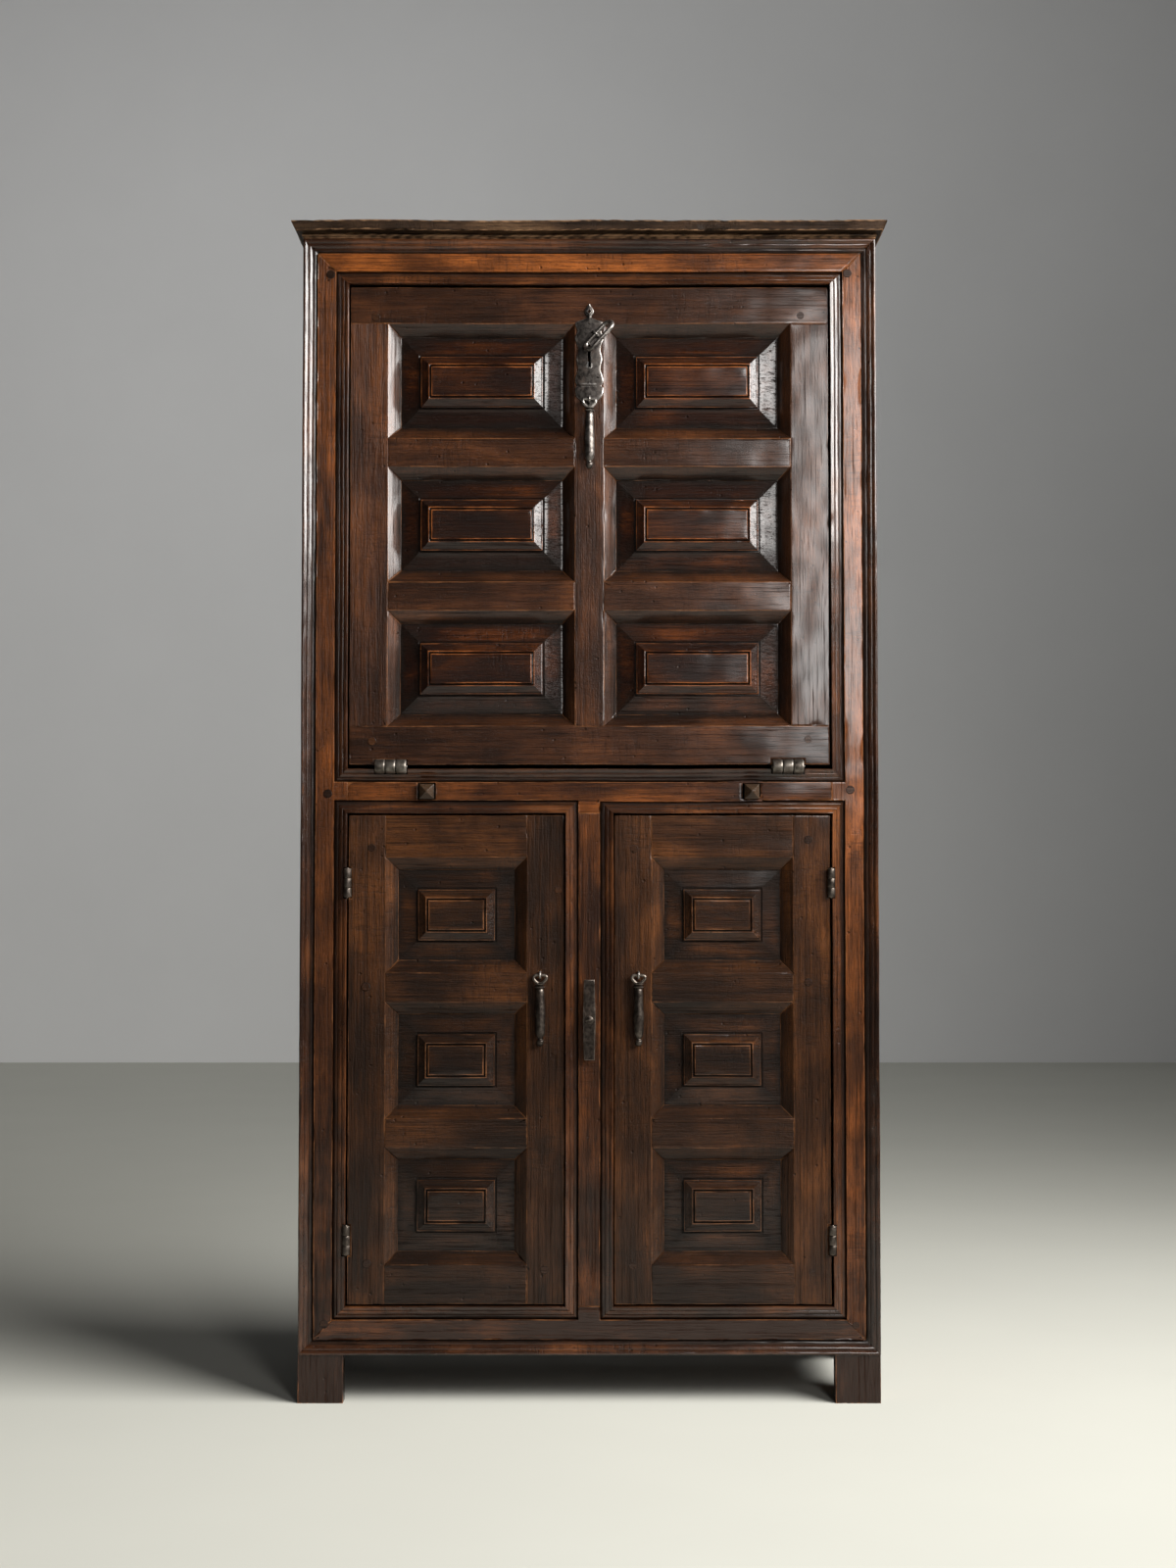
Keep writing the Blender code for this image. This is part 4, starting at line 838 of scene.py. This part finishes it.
def iron_finish(name, dark, body, bright, rust, rough):
    """Forged iron: its fire scale, its own grey, the rubbed metal, and the brown of old oil."""
    material, tree, shader, place = bare_material(name)
    marks = use_effect(tree, forge_marks, place=place, arris=read_from_piece(tree, "arris"))
    scale, rusty, rubbed = marks["Scale"], marks["Rust"], marks["Rubbed"]
    colour = blend(tree, scale, dark, body)
    for amount, tint in (
        (scaled(tree, rusty, 0.75), rust), (rubbed, bright), (read_from_piece(tree, "soot_and_shade"), IRON_SOOT)
    ):
        colour = blend(tree, amount, colour, tint)
    feed(tree, shader["Base Color"], colour)
    dull = add_up(tree, rough, (rusty, 0.20), (scale, 0.06), (rubbed, -0.10))
    feed(tree, shader["Roughness"], dull)
    feed(tree, shader["Metallic"], scaled(tree, rusty, -0.45, 0.85))
    roughen(tree, shader, add_up(tree, marks["Blow"], (scale, 0.18)), 0.35, 0.0007)
    return material


hinge_iron = iron_finish(
    "hinge_iron", dark=(0.024, 0.019, 0.015), body=(0.066, 0.053, 0.042),
    bright=(0.190, 0.168, 0.145), rust=(0.046, 0.026, 0.015), rough=0.44,
)
door_iron = iron_finish(
    "door_iron", dark=(0.014, 0.010, 0.008), body=(0.040, 0.031, 0.025),
    bright=(0.130, 0.108, 0.090), rust=(0.036, 0.019, 0.011), rough=0.36,
)


def ring_of(centre, u, v, radius, sides):
    turns = [math.tau * i / sides for i in range(sides)]
    return [centre + (u * math.cos(turn) + v * math.sin(turn)) * radius for turn in turns]


def turned(shape, start, way, profile, bore=0.0, sides=36):
    """A turned solid, or a tube where it has a bore, from (distance, radius) pairs."""
    way = Vector(way)
    u = way.orthogonal().normalized()
    v = way.cross(u)
    profile = list(profile)
    if bore:
        profile += [(profile[-1][0], bore), (profile[0][0], bore)]
    loft(shape, [ring_of(start + way * d, u, v, r, sides) for d, r in profile], bool(bore))


def hammer_out(shape, name, material, body, nodes, uneven=0.00012, crease=40):
    """Turn the faces out, find the crowns that hands rub, make the metal uneven and hang it."""
    face_out(shape)
    arris = marks_on(shape, "arris")
    for vert in shape.verts:
        bends = [edge.calc_face_angle_signed(0.0) for edge in vert.link_edges]
        vert[arris] = min(1.0, max(0.0, max(bends)) / FULL_CROWN)
    for vert in shape.verts:
        vert.co += noise.noise_vector(vert.co * HAMMERED) * uneven
    put_in_place(shape, name, material, body, nodes, crease=crease)


def barrel_hinge(name, iron, centre, axis, toward, length, radius, thick, half_gap, body):
    """The leaf that swings has the outer knuckles; the leaf on the case has the middle and the pin."""
    axis, toward, depth = Vector(axis), Vector(toward), Vector((0, 1, 0))
    third = length / KNUCKLES
    ease = 0.22 * radius / END_LENGTH
    ends = [(d * ease, r * radius) for d, r in ROUNDED_END]
    knuckle = ends + [(third - KNUCKLE_GAP - d, r) for d, r in ends[::-1]]
    for leaf, rides_on, turns, bore, reach, near in (
        ("leaf", body, (0, KNUCKLES - 1), PIN_RADIUS + PLAY, (-1, -1 / 3, 1 / 3, 1), PLAY - half_gap),
        ("case_leaf", "case", (1,), 0.0, (-1 / 3, 1 / 3), half_gap - PLAY - thick),
    ):
        shape = bmesh.new()
        for n in turns:
            start = centre + axis * (n * third - length / 2 + KNUCKLE_GAP / 2)
            turned(shape, start, axis, knuckle, bore)
        for first, last in zip(reach[::2], reach[1::2]):
            rings = []
            for a in (first * length / 2 + KNUCKLE_GAP, last * length / 2 - KNUCKLE_GAP):
                corner = centre + axis * a + toward * near
                flank = [corner + depth * d for d in (radius / 2, LEAF_DEPTH)]
                rings.append(flank + [point + toward * thick for point in flank[::-1]])
            loft(shape, rings)
        if not bore:
            over = PIN_END[-1][0]
            pin = [*PIN_END, *((length + 2 * over - d, r) for d, r in PIN_END[::-1])]
            turned(shape, centre - axis * (length / 2 + over), axis, pin, sides=20)
        hammer_out(shape, f"{name}_{leaf}_iron", iron, rides_on, [f"{name}_{leaf}"])


for side, s in SIDES:
    pin = Vector((s * FALL_PIN.x, FALL_PIN.y, FALL_PIN.z))
    name, ways = f"fall_hinge_{side}", ((1, 0, 0), (0, 0, -1))
    barrel_hinge(name, hinge_iron, pin, *ways, *FALL_BARREL, "fall_front")
    for level, height in DOOR_PINS_Z.items():
        pin = Vector((s * DOOR_PIN_X, DOOR_PIN_Y, height))
        name, ways = f"{side}_door_{level}_hinge", ((0, 0, 1), (s, 0, 0))
        barrel_hinge(name, door_iron, pin, *ways, *DOOR_BARREL, f"{side}_door")

# Lock: a scalloped plate of sheet iron, pierced at its finial, filed round the rim, engraved with
# two lines and held by small nails. An eye for the ring and a staple for the handle are riveted
# through it, and the lock's iron case sits behind the muntin.
FINE_WELD = 1e-6
PLATE_FRONT, PLATE_BACK = FACE_Y - 0.0023, FACE_Y - 0.0003
PLATE_RIM, PLATE_SEAT = PLATE_FRONT + 0.0009, (PLATE_FRONT + PLATE_BACK) / 2
PLATE_TOP = 1.6695
PLATE_OUTLINE = (
    (0.000, 0.0010), (0.011, 0.0070), (0.020, 0.0030), (0.024, 0.0110), (0.029, 0.0215),
    (0.041, 0.0180), (0.053, 0.0215), (0.069, 0.0170), (0.085, 0.0195), (0.100, 0.0170),
    (0.117, 0.0215), (0.126, 0.0185), (0.130, 0.0215), (0.143, 0.0190), (0.151, 0.0090),
    (0.158, 0.0010),
)
# Across the plate from the rim to the middle, as (share of the half width, stand in front of the rim)
PLATE_CROWN = (
    (1.0, 0.0), (0.97, 0.0006), (0.92, 0.0009), (0.75, 0.0013), (0.45, 0.0017), (0.15, 0.0019),
    (0.02, 0.00195),
)
FINIAL_HOLE, FINIAL_HALF = PLATE_TOP - 0.011, (0.0032, 0.0042)
KEYHOLE, KEYHOLE_RADIUS, KEYHOLE_SLOT, KEYHOLE_LENGTH = PLATE_TOP - 0.066, 0.0040, 0.0029, 0.032
KEYHOLE_START, KEYHOLE_SWEEP, KEYHOLE_STEPS = -54, 288, 20
ENGRAVED = (0.1235, 0.1275)
GROOVE_FLOOR, GROOVE_HALF, GROOVE_REACH = PLATE_FRONT - 0.0007, 0.0004, 0.03
lock_iron = iron_finish(
    "lock_iron", dark=(0.022, 0.018, 0.016), body=(0.062, 0.054, 0.048),
    bright=(0.260, 0.240, 0.222), rust=(0.034, 0.020, 0.013), rough=0.34,
)


def eased_curve(points, steps):
    """Points on a smooth curve through the given ones."""
    padded = [points[0], *points, points[-1]]
    curve = []
    for corners in zip(padded, padded[1:], padded[2:], padded[3:]):
        for n in range(steps):
            f = n / steps
            curve.append(tuple(
                0.5 * (2 * b + (c - a) * f + (2 * a - 5 * b + 4 * c - d) * f**2
                       + (3 * b - a - 3 * c + d) * f**3)
                for a, b, c, d in zip(*corners)
            ))
    return [*curve, points[-1]]


def pierce(shape, outline, near=FACE_Y - 0.02, far=FACE_Y + 0.01):
    """Cut a front-view outline into the plate, or right through it."""
    return carve(shape, prism(outline, near, far), "DIFFERENCE", FINE_WELD)


edge = eased_curve(PLATE_OUTLINE, 5)
rings = []
crown = [(share, PLATE_RIM - proud) for share, proud in PLATE_CROWN]
for share, depth in ((1.0, PLATE_BACK), *crown):
    half = [(x * share, depth, PLATE_TOP - drop) for drop, x in edge]
    rings.append(half + [(-x, y, z) for x, y, z in half[::-1]])
shape = bmesh.new()
loft(shape, rings)
face_out(shape)
wide, tall = FINIAL_HALF
shape = pierce(shape, [
    (wide, FINIAL_HOLE), (0, FINIAL_HOLE + tall), (-wide, FINIAL_HOLE), (0, FINIAL_HOLE - tall)
])
bow = [
    math.radians(KEYHOLE_START + KEYHOLE_SWEEP * n / KEYHOLE_STEPS) for n in range(KEYHOLE_STEPS + 1)
]
round_part = [
    (KEYHOLE_RADIUS * math.cos(turn), KEYHOLE + KEYHOLE_RADIUS * math.sin(turn)) for turn in bow
]
foot = KEYHOLE - KEYHOLE_LENGTH
shape = pierce(shape, [(KEYHOLE_SLOT, foot), *round_part, (-KEYHOLE_SLOT, foot)])
for drop in ENGRAVED:
    low, high = PLATE_TOP - drop - GROOVE_HALF, PLATE_TOP - drop + GROOVE_HALF
    line = [(-GROOVE_REACH, low), (GROOVE_REACH, low), (GROOVE_REACH, high), (-GROOVE_REACH, high)]
    shape = pierce(shape, line, GROOVE_FLOOR - 0.003, GROOVE_FLOOR)
hammer_out(shape, "lock_face_plate", lock_iron, "fall_front", ["lock_plate"], 0.0001, 30)
shape = solid_of("lock_case")
ease_arrises(shape, 0.0016)
put_in_place(shape, "lock_box", lock_iron, "fall_front", ["lock_case"])

# Lock ring: an oval link of round iron that hangs askew in the eye, polished by the hands that
# pull the fall open. The eye, like the staples of the handles, is a wire with its legs driven in.
RING_EYE = Vector((0.0095, PLATE_FRONT - 0.0052, PLATE_TOP - 0.047))
RING_SLOPE = RING_TILT = math.radians(48)
RING_LENGTH, RING_WIDTH, RING_WIRE, RING_BEND = 0.056, 0.0195, 0.0034, 18
STAPLE_WIRE, STAPLE_BEND = 0.0016, 14
handled_iron = iron_finish(
    "handled_iron", dark=(0.030, 0.025, 0.022), body=(0.092, 0.080, 0.070),
    bright=(0.330, 0.300, 0.275), rust=(0.040, 0.025, 0.017), rough=0.29,
)


def wire(shape, path, radius, closed=False, sides=14):
    """Round wire along a path of points that lie in one plane, with blunt ends."""
    count = len(path)
    flat = (path[count // 3] - path[0]).cross(path[2 * count // 3] - path[0]).normalized()
    rings = []
    for i, point in enumerate(path):
        before = path[i - 1] if i or closed else point
        after = path[(i + 1) % count] if i + 1 < count or closed else point
        heading = (after - before).normalized()
        rings.append(ring_of(point, flat, heading.cross(flat), radius, sides))
    loft(shape, rings, closed)


def staple(name, centre, across, half, seat, nodes, body):
    """Wire bent round a bar, with its two legs driven back to seat."""
    across, depth = Vector(across), Vector((0, 1, 0))
    turns = [math.pi * n / STAPLE_BEND for n in range(STAPLE_BEND + 1)]
    loop = [centre + (across * math.cos(turn) - depth * math.sin(turn)) * half for turn in turns]
    legs = [centre + across * half, centre - across * half]
    for leg in legs:
        leg.y = seat
    shape = bmesh.new()
    wire(shape, [legs[0], *loop, legs[1]], STAPLE_WIRE, sides=12)
    hammer_out(shape, name, lock_iron, body, nodes, 0.00008)


run = Vector((math.cos(RING_SLOPE), 0, math.sin(RING_SLOPE)))
drop_way = Vector((math.sin(RING_SLOPE), 0, -math.cos(RING_SLOPE)))
swing = drop_way * math.cos(RING_TILT) - Vector((0, math.sin(RING_TILT), 0))
bend = RING_WIDTH / 2
straight = RING_LENGTH / 2 - bend
oval = []
for middle, first in ((straight, -math.pi / 2), (-straight, math.pi / 2)):
    for n in range(RING_BEND + 1):
        turn = first + math.pi * n / RING_BEND
        along, out = middle + bend * math.cos(turn), bend * (1 + math.sin(turn))
        oval.append(RING_EYE + run * along + swing * out)
shape = bmesh.new()
wire(shape, oval, RING_WIRE, closed=True, sides=18)
hammer_out(shape, "pull_ring", handled_iron, "lock_ring", ["lock_ring"], 0.0002)
staple("ring_eye", RING_EYE, drop_way, 0.0056, PLATE_SEAT, ["lock_plate"], "fall_front")

# Drop handles: a wire stirrup with a turned pendant under it, beaded at both ends. Three of them,
# each hung in a staple: one on the lock plate and one on the inner stile of each door.
BAR_OUT = 0.0085
FALL_BAR = Vector((0, PLATE_FRONT - BAR_OUT, 1.5215))
DOOR_BAR_X, DOOR_BAR_Z, DOOR_SEAT = 0.0745, 0.643, FACE_Y + 0.012
STAPLE_HALF = 0.0044
STIRRUP_WIRE = 0.0024
STIRRUP = ((0.0090, 0.0), (0.0100, -0.00585), (0.0030, -0.0130))
CORNER_CUTS = (0.22, 0.78)
STOUT = 1.27
PENDANT = (
    (0.0115, 0.0026), (0.0135, 0.0058), (0.0160, 0.0036), (0.0180, 0.0061), (0.0205, 0.0038),
    (0.0240, 0.0047), (0.0400, 0.0053), (0.0620, 0.0062), (0.0800, 0.0060), (0.0880, 0.0056),
    (0.0930, 0.0042), (0.0960, 0.0028), (0.0985, 0.0040), (0.1000, 0.0044), (0.1040, 0.0040),
    (0.1065, 0.0026), (0.1075, 0.0010),
)


def corners_rounded(points, times):
    """Cut the corners of a closed outline again and again, until it is round there."""
    for n in range(times):
        cut = []
        for first, last in zip(points, points[1:] + points[:1]):
            for share in CORNER_CUTS:
                cut.append(tuple(a + (b - a) * share for a, b in zip(first, last)))
        points = cut
    return points


def drop_handle(name, iron, bar, body, node):
    loop = corners_rounded([*STIRRUP, *((-x, z) for x, z in STIRRUP[::-1])], 2)
    shape = bmesh.new()
    wire(shape, [bar + Vector((x, 0, z)) for x, z in loop], STIRRUP_WIRE, closed=True)
    stout = [(down, STOUT * half) for down, half in eased_curve(PENDANT, 4)]
    turned(shape, bar, (0, 0, -1), stout, sides=28)
    hammer_out(shape, name, iron, body, [node], 0.00015, 50)


staple("handle_staple", FALL_BAR, (0, 0, 1), STAPLE_HALF, PLATE_SEAT, ["lock_plate"], "fall_front")
drop_handle("fall_drop_handle", handled_iron, FALL_BAR, "fall_handle", "fall_handle")
for side, s in SIDES:
    bar = Vector((s * DOOR_BAR_X, FACE_Y - BAR_OUT, DOOR_BAR_Z))
    node = f"{side}_handle_staple"
    staple(f"{node}_wire", bar, (0, 0, 1), STAPLE_HALF, DOOR_SEAT, [node], f"{side}_door")
    drop_handle(f"{side}_drop_handle", door_iron, bar, f"{side}_handle", f"{side}_handle")

# Turn latch: a flat bar of iron with filed edges that turns on a domed, slotted screw in the centre
# post and closes both doors at once. It is stored upright here.
SCREW_HEAD = Vector((0, -0.2081, 0.5755))
SCREW = (
    (0.0, 0.0006), (0.0001, 0.0022), (0.0004, 0.0038), (0.0009, 0.0051), (0.0016, 0.0060),
    (0.0021, 0.0062), (0.0026, 0.0061), (0.0026, 0.0026), (0.0066, 0.0026), (0.0066, 0.0060),
    (0.0128, 0.0060), (0.0128, 0.0026), (0.0328, 0.0016),
)
SLOT_ALONG, SLOT_ACROSS = Vector((0.94, 0, 0.34)), Vector((-0.34, 0, 0.94))
SLOT_HALF, SLOT_FRONT, SLOT_FLOOR, SLOT_REACH = 0.0008, -0.003, 0.0012, 0.01
shape = solid_of("turn_latch")
ease_arrises(shape, 0.0007)
slice_across(shape, 2, 0.006)
hammer_out(shape, "latch_bar", door_iron, "turn_latch", ["turn_latch"], 0.0003)
shape = bmesh.new()
turned(shape, SCREW_HEAD, (0, 1, 0), SCREW, sides=32)
face_out(shape)
section = [
    SCREW_HEAD + SLOT_ACROSS * across * SLOT_HALF + Vector((0, y, 0))
    for across, y in ((-1, SLOT_FRONT), (1, SLOT_FRONT), (1, SLOT_FLOOR), (-1, SLOT_FLOOR))
]
tool = bmesh.new()
loft(tool, [[point + SLOT_ALONG * a for point in section] for a in (-SLOT_REACH, SLOT_REACH)])
face_out(tool)
shape = carve(shape, tool, "DIFFERENCE", FINE_WELD)
hammer_out(shape, "latch_screw_iron", door_iron, "case", ["latch_screw"], 0.0)

# Pegs and nails: square-sawn walnut pegs driven through the tenons of the frames and cut off nearly
# flush, and hand-forged nails in the lock plate, the cornice, the back boards and the lock's case.
# One tree sets them all: it stands a faceted stub on each point and turns it at random.
driven_in = bpy.data.node_groups.new("driven_in", "GeometryNodeTree")
driven_in.is_modifier = True
sockets = {}
for label, kind in (
    ("Geometry", "Geometry"), ("Sides", "Int"), ("Width", "Float"), ("Crown", "Float"),
    ("Stand", "Float"), ("Facing", "Vector"), ("Seed", "Int"), ("Finish", "Material"),
):
    socket = driven_in.interface.new_socket(label, in_out="INPUT", socket_type=f"NodeSocket{kind}")
    sockets[label] = socket.identifier
driven_in.interface.new_socket("Geometry", in_out="OUTPUT", socket_type="NodeSocketGeometry")
t = driven_in
given = t.nodes.new("NodeGroupInput").outputs
seed = given["Seed"]
spin, size = (
    node_of(t, "FunctionNodeRandomValue", {2: low, 3: high, "Seed": seed}, data_type="FLOAT")[1]
    for low, high in ((0.0, math.tau), (0.88, 1.08))
)
stub = node_of(t, "GeometryNodeMeshCone", {
    "Vertices": given["Sides"], "Radius Bottom": given["Width"], "Depth": given["Stand"],
    "Radius Top": maths(t, "MULTIPLY", given["Width"], given["Crown"]),
})
soot_and_shade = {"Geometry": stub["Mesh"], "Name": "soot_and_shade", "Value": stub["Side"]}
sooted = node_of(t, "GeometryNodeStoreNamedAttribute", soot_and_shade, data_type="FLOAT", domain="FACE")
turn = node_of(t, "ShaderNodeCombineXYZ", {2: spin})[0]
about, facing = (
    node_of(t, "FunctionNodeEulerToRotation", {"Euler": euler})[0] for euler in (turn, given["Facing"])
)
turns = {"Rotation": facing, "Rotate By": about}
set_in = node_of(t, "GeometryNodeInstanceOnPoints", {
    "Points": given["Geometry"], "Instance": sooted["Geometry"], "Scale": size,
    "Rotation": node_of(t, "FunctionNodeRotateRotation", turns, rotation_space="LOCAL")[0],
})
plain = node_of(t, "GeometryNodeRealizeInstances", {"Geometry": set_in["Instances"]})[0]
finished = node_of(t, "GeometryNodeSetMaterial", {"Geometry": plain, "Material": given["Finish"]})[0]
node_of(t, "NodeGroupOutput", {"Geometry": finished})


def drive_in(name, points, body, slot, **values):
    """Drive pegs or nails at the points and make them one plain mesh on a body."""
    marks = bpy.data.meshes.new(f"{name}_points")
    marks.from_pydata(points, [], [])
    holder = stand(f"{name}_points", marks)
    tool = holder.modifiers.new("driven_in", "NODES")
    tool.node_group = driven_in
    for label, value in values.items():
        tool[sockets[label.capitalize()]] = value
    mesh = result_of(holder)
    bpy.data.objects.remove(holder)
    made = stand(name, mesh)
    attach(made, body)


FRONTWARD, BACKWARD, UPWARD = (math.pi / 2, 0.0, 0.0), (-math.pi / 2, 0.0, 0.0), (0.0, 0.0, 0.0)
PEG_DEPTH, PEG_STAND = 0.0010, 0.0007
FIRST_PEG_SEED, FIRST_NAIL_SEED = 3, 11
SUNK, RIVET_INSET = 0.0008, 0.009
peg_wood = wood_finish(
    "peg_walnut", deep=(0.009, 0.0040, 0.0022), body=(0.032, 0.0125, 0.0054),
    bright=(0.080, 0.0300, 0.0105), worn=(0.200, 0.090, 0.036), polish=0.34, tone=0.0, gloss=0.4,
)
# Where the pegs are, as (x, z) on the front, body by body
pegs = {
    "case": (
        (-0.398, 0.918), (0.397, 0.924), (0.396, 1.718), (-0.397, 1.716), (-0.400, 0.118),
        (0.402, 0.116),
    ),
    "fall_front": ((-0.327, 1.6495), (0.324, 1.6525), (-0.331, 0.998), (0.333, 1.001)),
    "left_door": (
        (-0.331, 0.836), (-0.339, 0.625), (-0.0467, 0.772), (-0.336, 0.208), (-0.068, 0.199)
    ),
    "right_door": ((0.068, 0.834), (0.333, 0.848), (0.332, 0.632), (0.066, 0.205), (0.337, 0.196)),
}
for seed, (body, places) in enumerate(pegs.items(), FIRST_PEG_SEED):
    points = [(x, FACE_Y + PEG_DEPTH, z) for x, z in places]
    drive_in(
        f"{body}_pegs", points, body, "frame_wood", sides=11, width=0.0072, crown=0.80,
        stand=PEG_DEPTH + PEG_STAND, facing=FRONTWARD, seed=seed, finish=peg_wood,
    )
plate_nails = [
    (x, PLATE_FRONT + 0.0002, PLATE_TOP - drop)
    for x, drop in ((0.0, 0.0295), (-0.0135, 0.112), (0.0135, 0.113))
]
across = cornice_high.x - cornice_low.x
cornice_nails = [
    (cornice_low.x + across * share, cornice_low.y + inward, cornice_high.z - SUNK)
    for inward in (0.034, 0.395) for share in (0.07, 0.28, 0.5, 0.72, 0.93)
]
back_nails = [
    (back_low.x + board_width * (n + share), back_high.y - SUNK, z)
    for n in range(BACK_BOARDS) for share in (0.22, 0.78) for z in (0.115, 0.930, 1.735)
]
box_low, box_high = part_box("lock_case")
rivets = [
    (x, box_high.y - SUNK / 2, z)
    for x in (box_low.x + RIVET_INSET, box_high.x - RIVET_INSET)
    for z in (box_low.z + RIVET_INSET, box_high.z - RIVET_INSET)
]
nails = (
    ("lock_plate_nails", plate_nails, "fall_front", 0.0022, 0.0026, FRONTWARD),
    ("cornice_nails", cornice_nails, "case", 0.0045, 0.0022, UPWARD),
    ("back_nails", back_nails, "case", 0.0045, 0.0022, BACKWARD),
    ("lock_rivets", rivets, "fall_front", 0.0036, 0.0020, BACKWARD),
)
for seed, (name, points, body, width, proud, facing) in enumerate(nails, FIRST_NAIL_SEED):
    drive_in(
        name, points, body, "iron", sides=7, width=width, crown=0.42, stand=proud, facing=facing,
        seed=seed, finish=hinge_iron,
    )

# The room: a pale painted floor, a plain grey wall behind, a broad soft box high on the right, with
# a grid that keeps it off the floor below it, a soft light by the camera and one for the wall.
WALL_Y, WALL_HEIGHT = 6.9, 5.0
ROOM = 9.0
FADED = 0.93
MATTE = 0.9


def painted_sheet(name, corners, colour):
    material, tree, shader, place = bare_material(f"{name}_paint")
    faded = tuple(FADED * value for value in colour)
    feed(tree, shader["Base Color"], blend(tree, mottle(tree, place, 1.7), faded, colour))
    shader["Roughness"].default_value = MATTE
    shader["Specular IOR Level"].default_value = SHEEN
    mesh = bpy.data.meshes.new(name)
    mesh.from_pydata(corners, [], [range(len(corners))])
    mesh.materials.append(material)
    made = stand(name, mesh)


front_edge = ((-ROOM, -ROOM, 0), (ROOM, -ROOM, 0))
foot_of_wall = ((-ROOM, WALL_Y, 0), (ROOM, WALL_Y, 0))
head_of_wall = ((ROOM, WALL_Y, WALL_HEIGHT), (-ROOM, WALL_Y, WALL_HEIGHT))
painted_sheet("floor", (*front_edge, *foot_of_wall[::-1]), (0.63, 0.63, 0.57))
painted_sheet("wall", (*foot_of_wall, *head_of_wall), (0.80, 0.80, 0.80))


def soft_light(name, place, aim, size, power, colour, fan=180):
    lamp = bpy.data.lights.new(name, "AREA")
    lamp.spread = math.radians(fan)
    lamp.shape = "RECTANGLE"
    lamp.size, lamp.size_y = size
    lamp.energy = power
    lamp.color = colour
    made = stand(name, lamp)
    made.location = place
    made.rotation_euler = (Vector(aim) - Vector(place)).to_track_quat("-Z", "Y").to_euler()


for lamp in (
    ("side_window", (2.92, -1.95, 2.6), (0.0, -0.2, 1.2), (3.9, 1.7), 172, (1.0, 0.985, 0.96), 104),
    ("front_window", (0.98, -4.5, 1.95), (0.1, -0.2, 1.2), (0.55, 1.5), 34, (1.0, 0.98, 0.96)),
    ("wall_wash", (-0.6, 2.5, 5.2), (-0.6, 6.9, 3.1), (5.0, 0.6), 46, (1.0, 1.0, 1.0), 140),
):
    soft_light(*lamp)
world = bpy.data.worlds.new("studio_air")
bpy.context.scene.world = world
world.use_nodes = True
air = world.node_tree.nodes["Background"].inputs
air["Color"].default_value = (0.55, 0.56, 0.58, 1.0)
air["Strength"].default_value = 0.03

# The camera stands square to the front, a little below the middle of the cabinet, and looks up
# slightly. Its lens and its place follow from the converging edges of the front.
EYE = Vector((-0.002, -3.845, 0.7735))
TILT_UP = 0.04363
FOCAL_PIXELS, IMAGE_HEIGHT = 2450, 1600
camera = bpy.data.cameras.new("camera")
camera.sensor_fit = "VERTICAL"
camera.sensor_height = 36.0
camera.lens = camera.sensor_height * FOCAL_PIXELS / IMAGE_HEIGHT
view_point = stand("camera", camera)
view_point.location = EYE
view_point.rotation_euler = (math.pi / 2 + TILT_UP, 0, 0)
bpy.context.scene.camera = view_point
bpy.context.scene.view_settings.view_transform = "Standard"
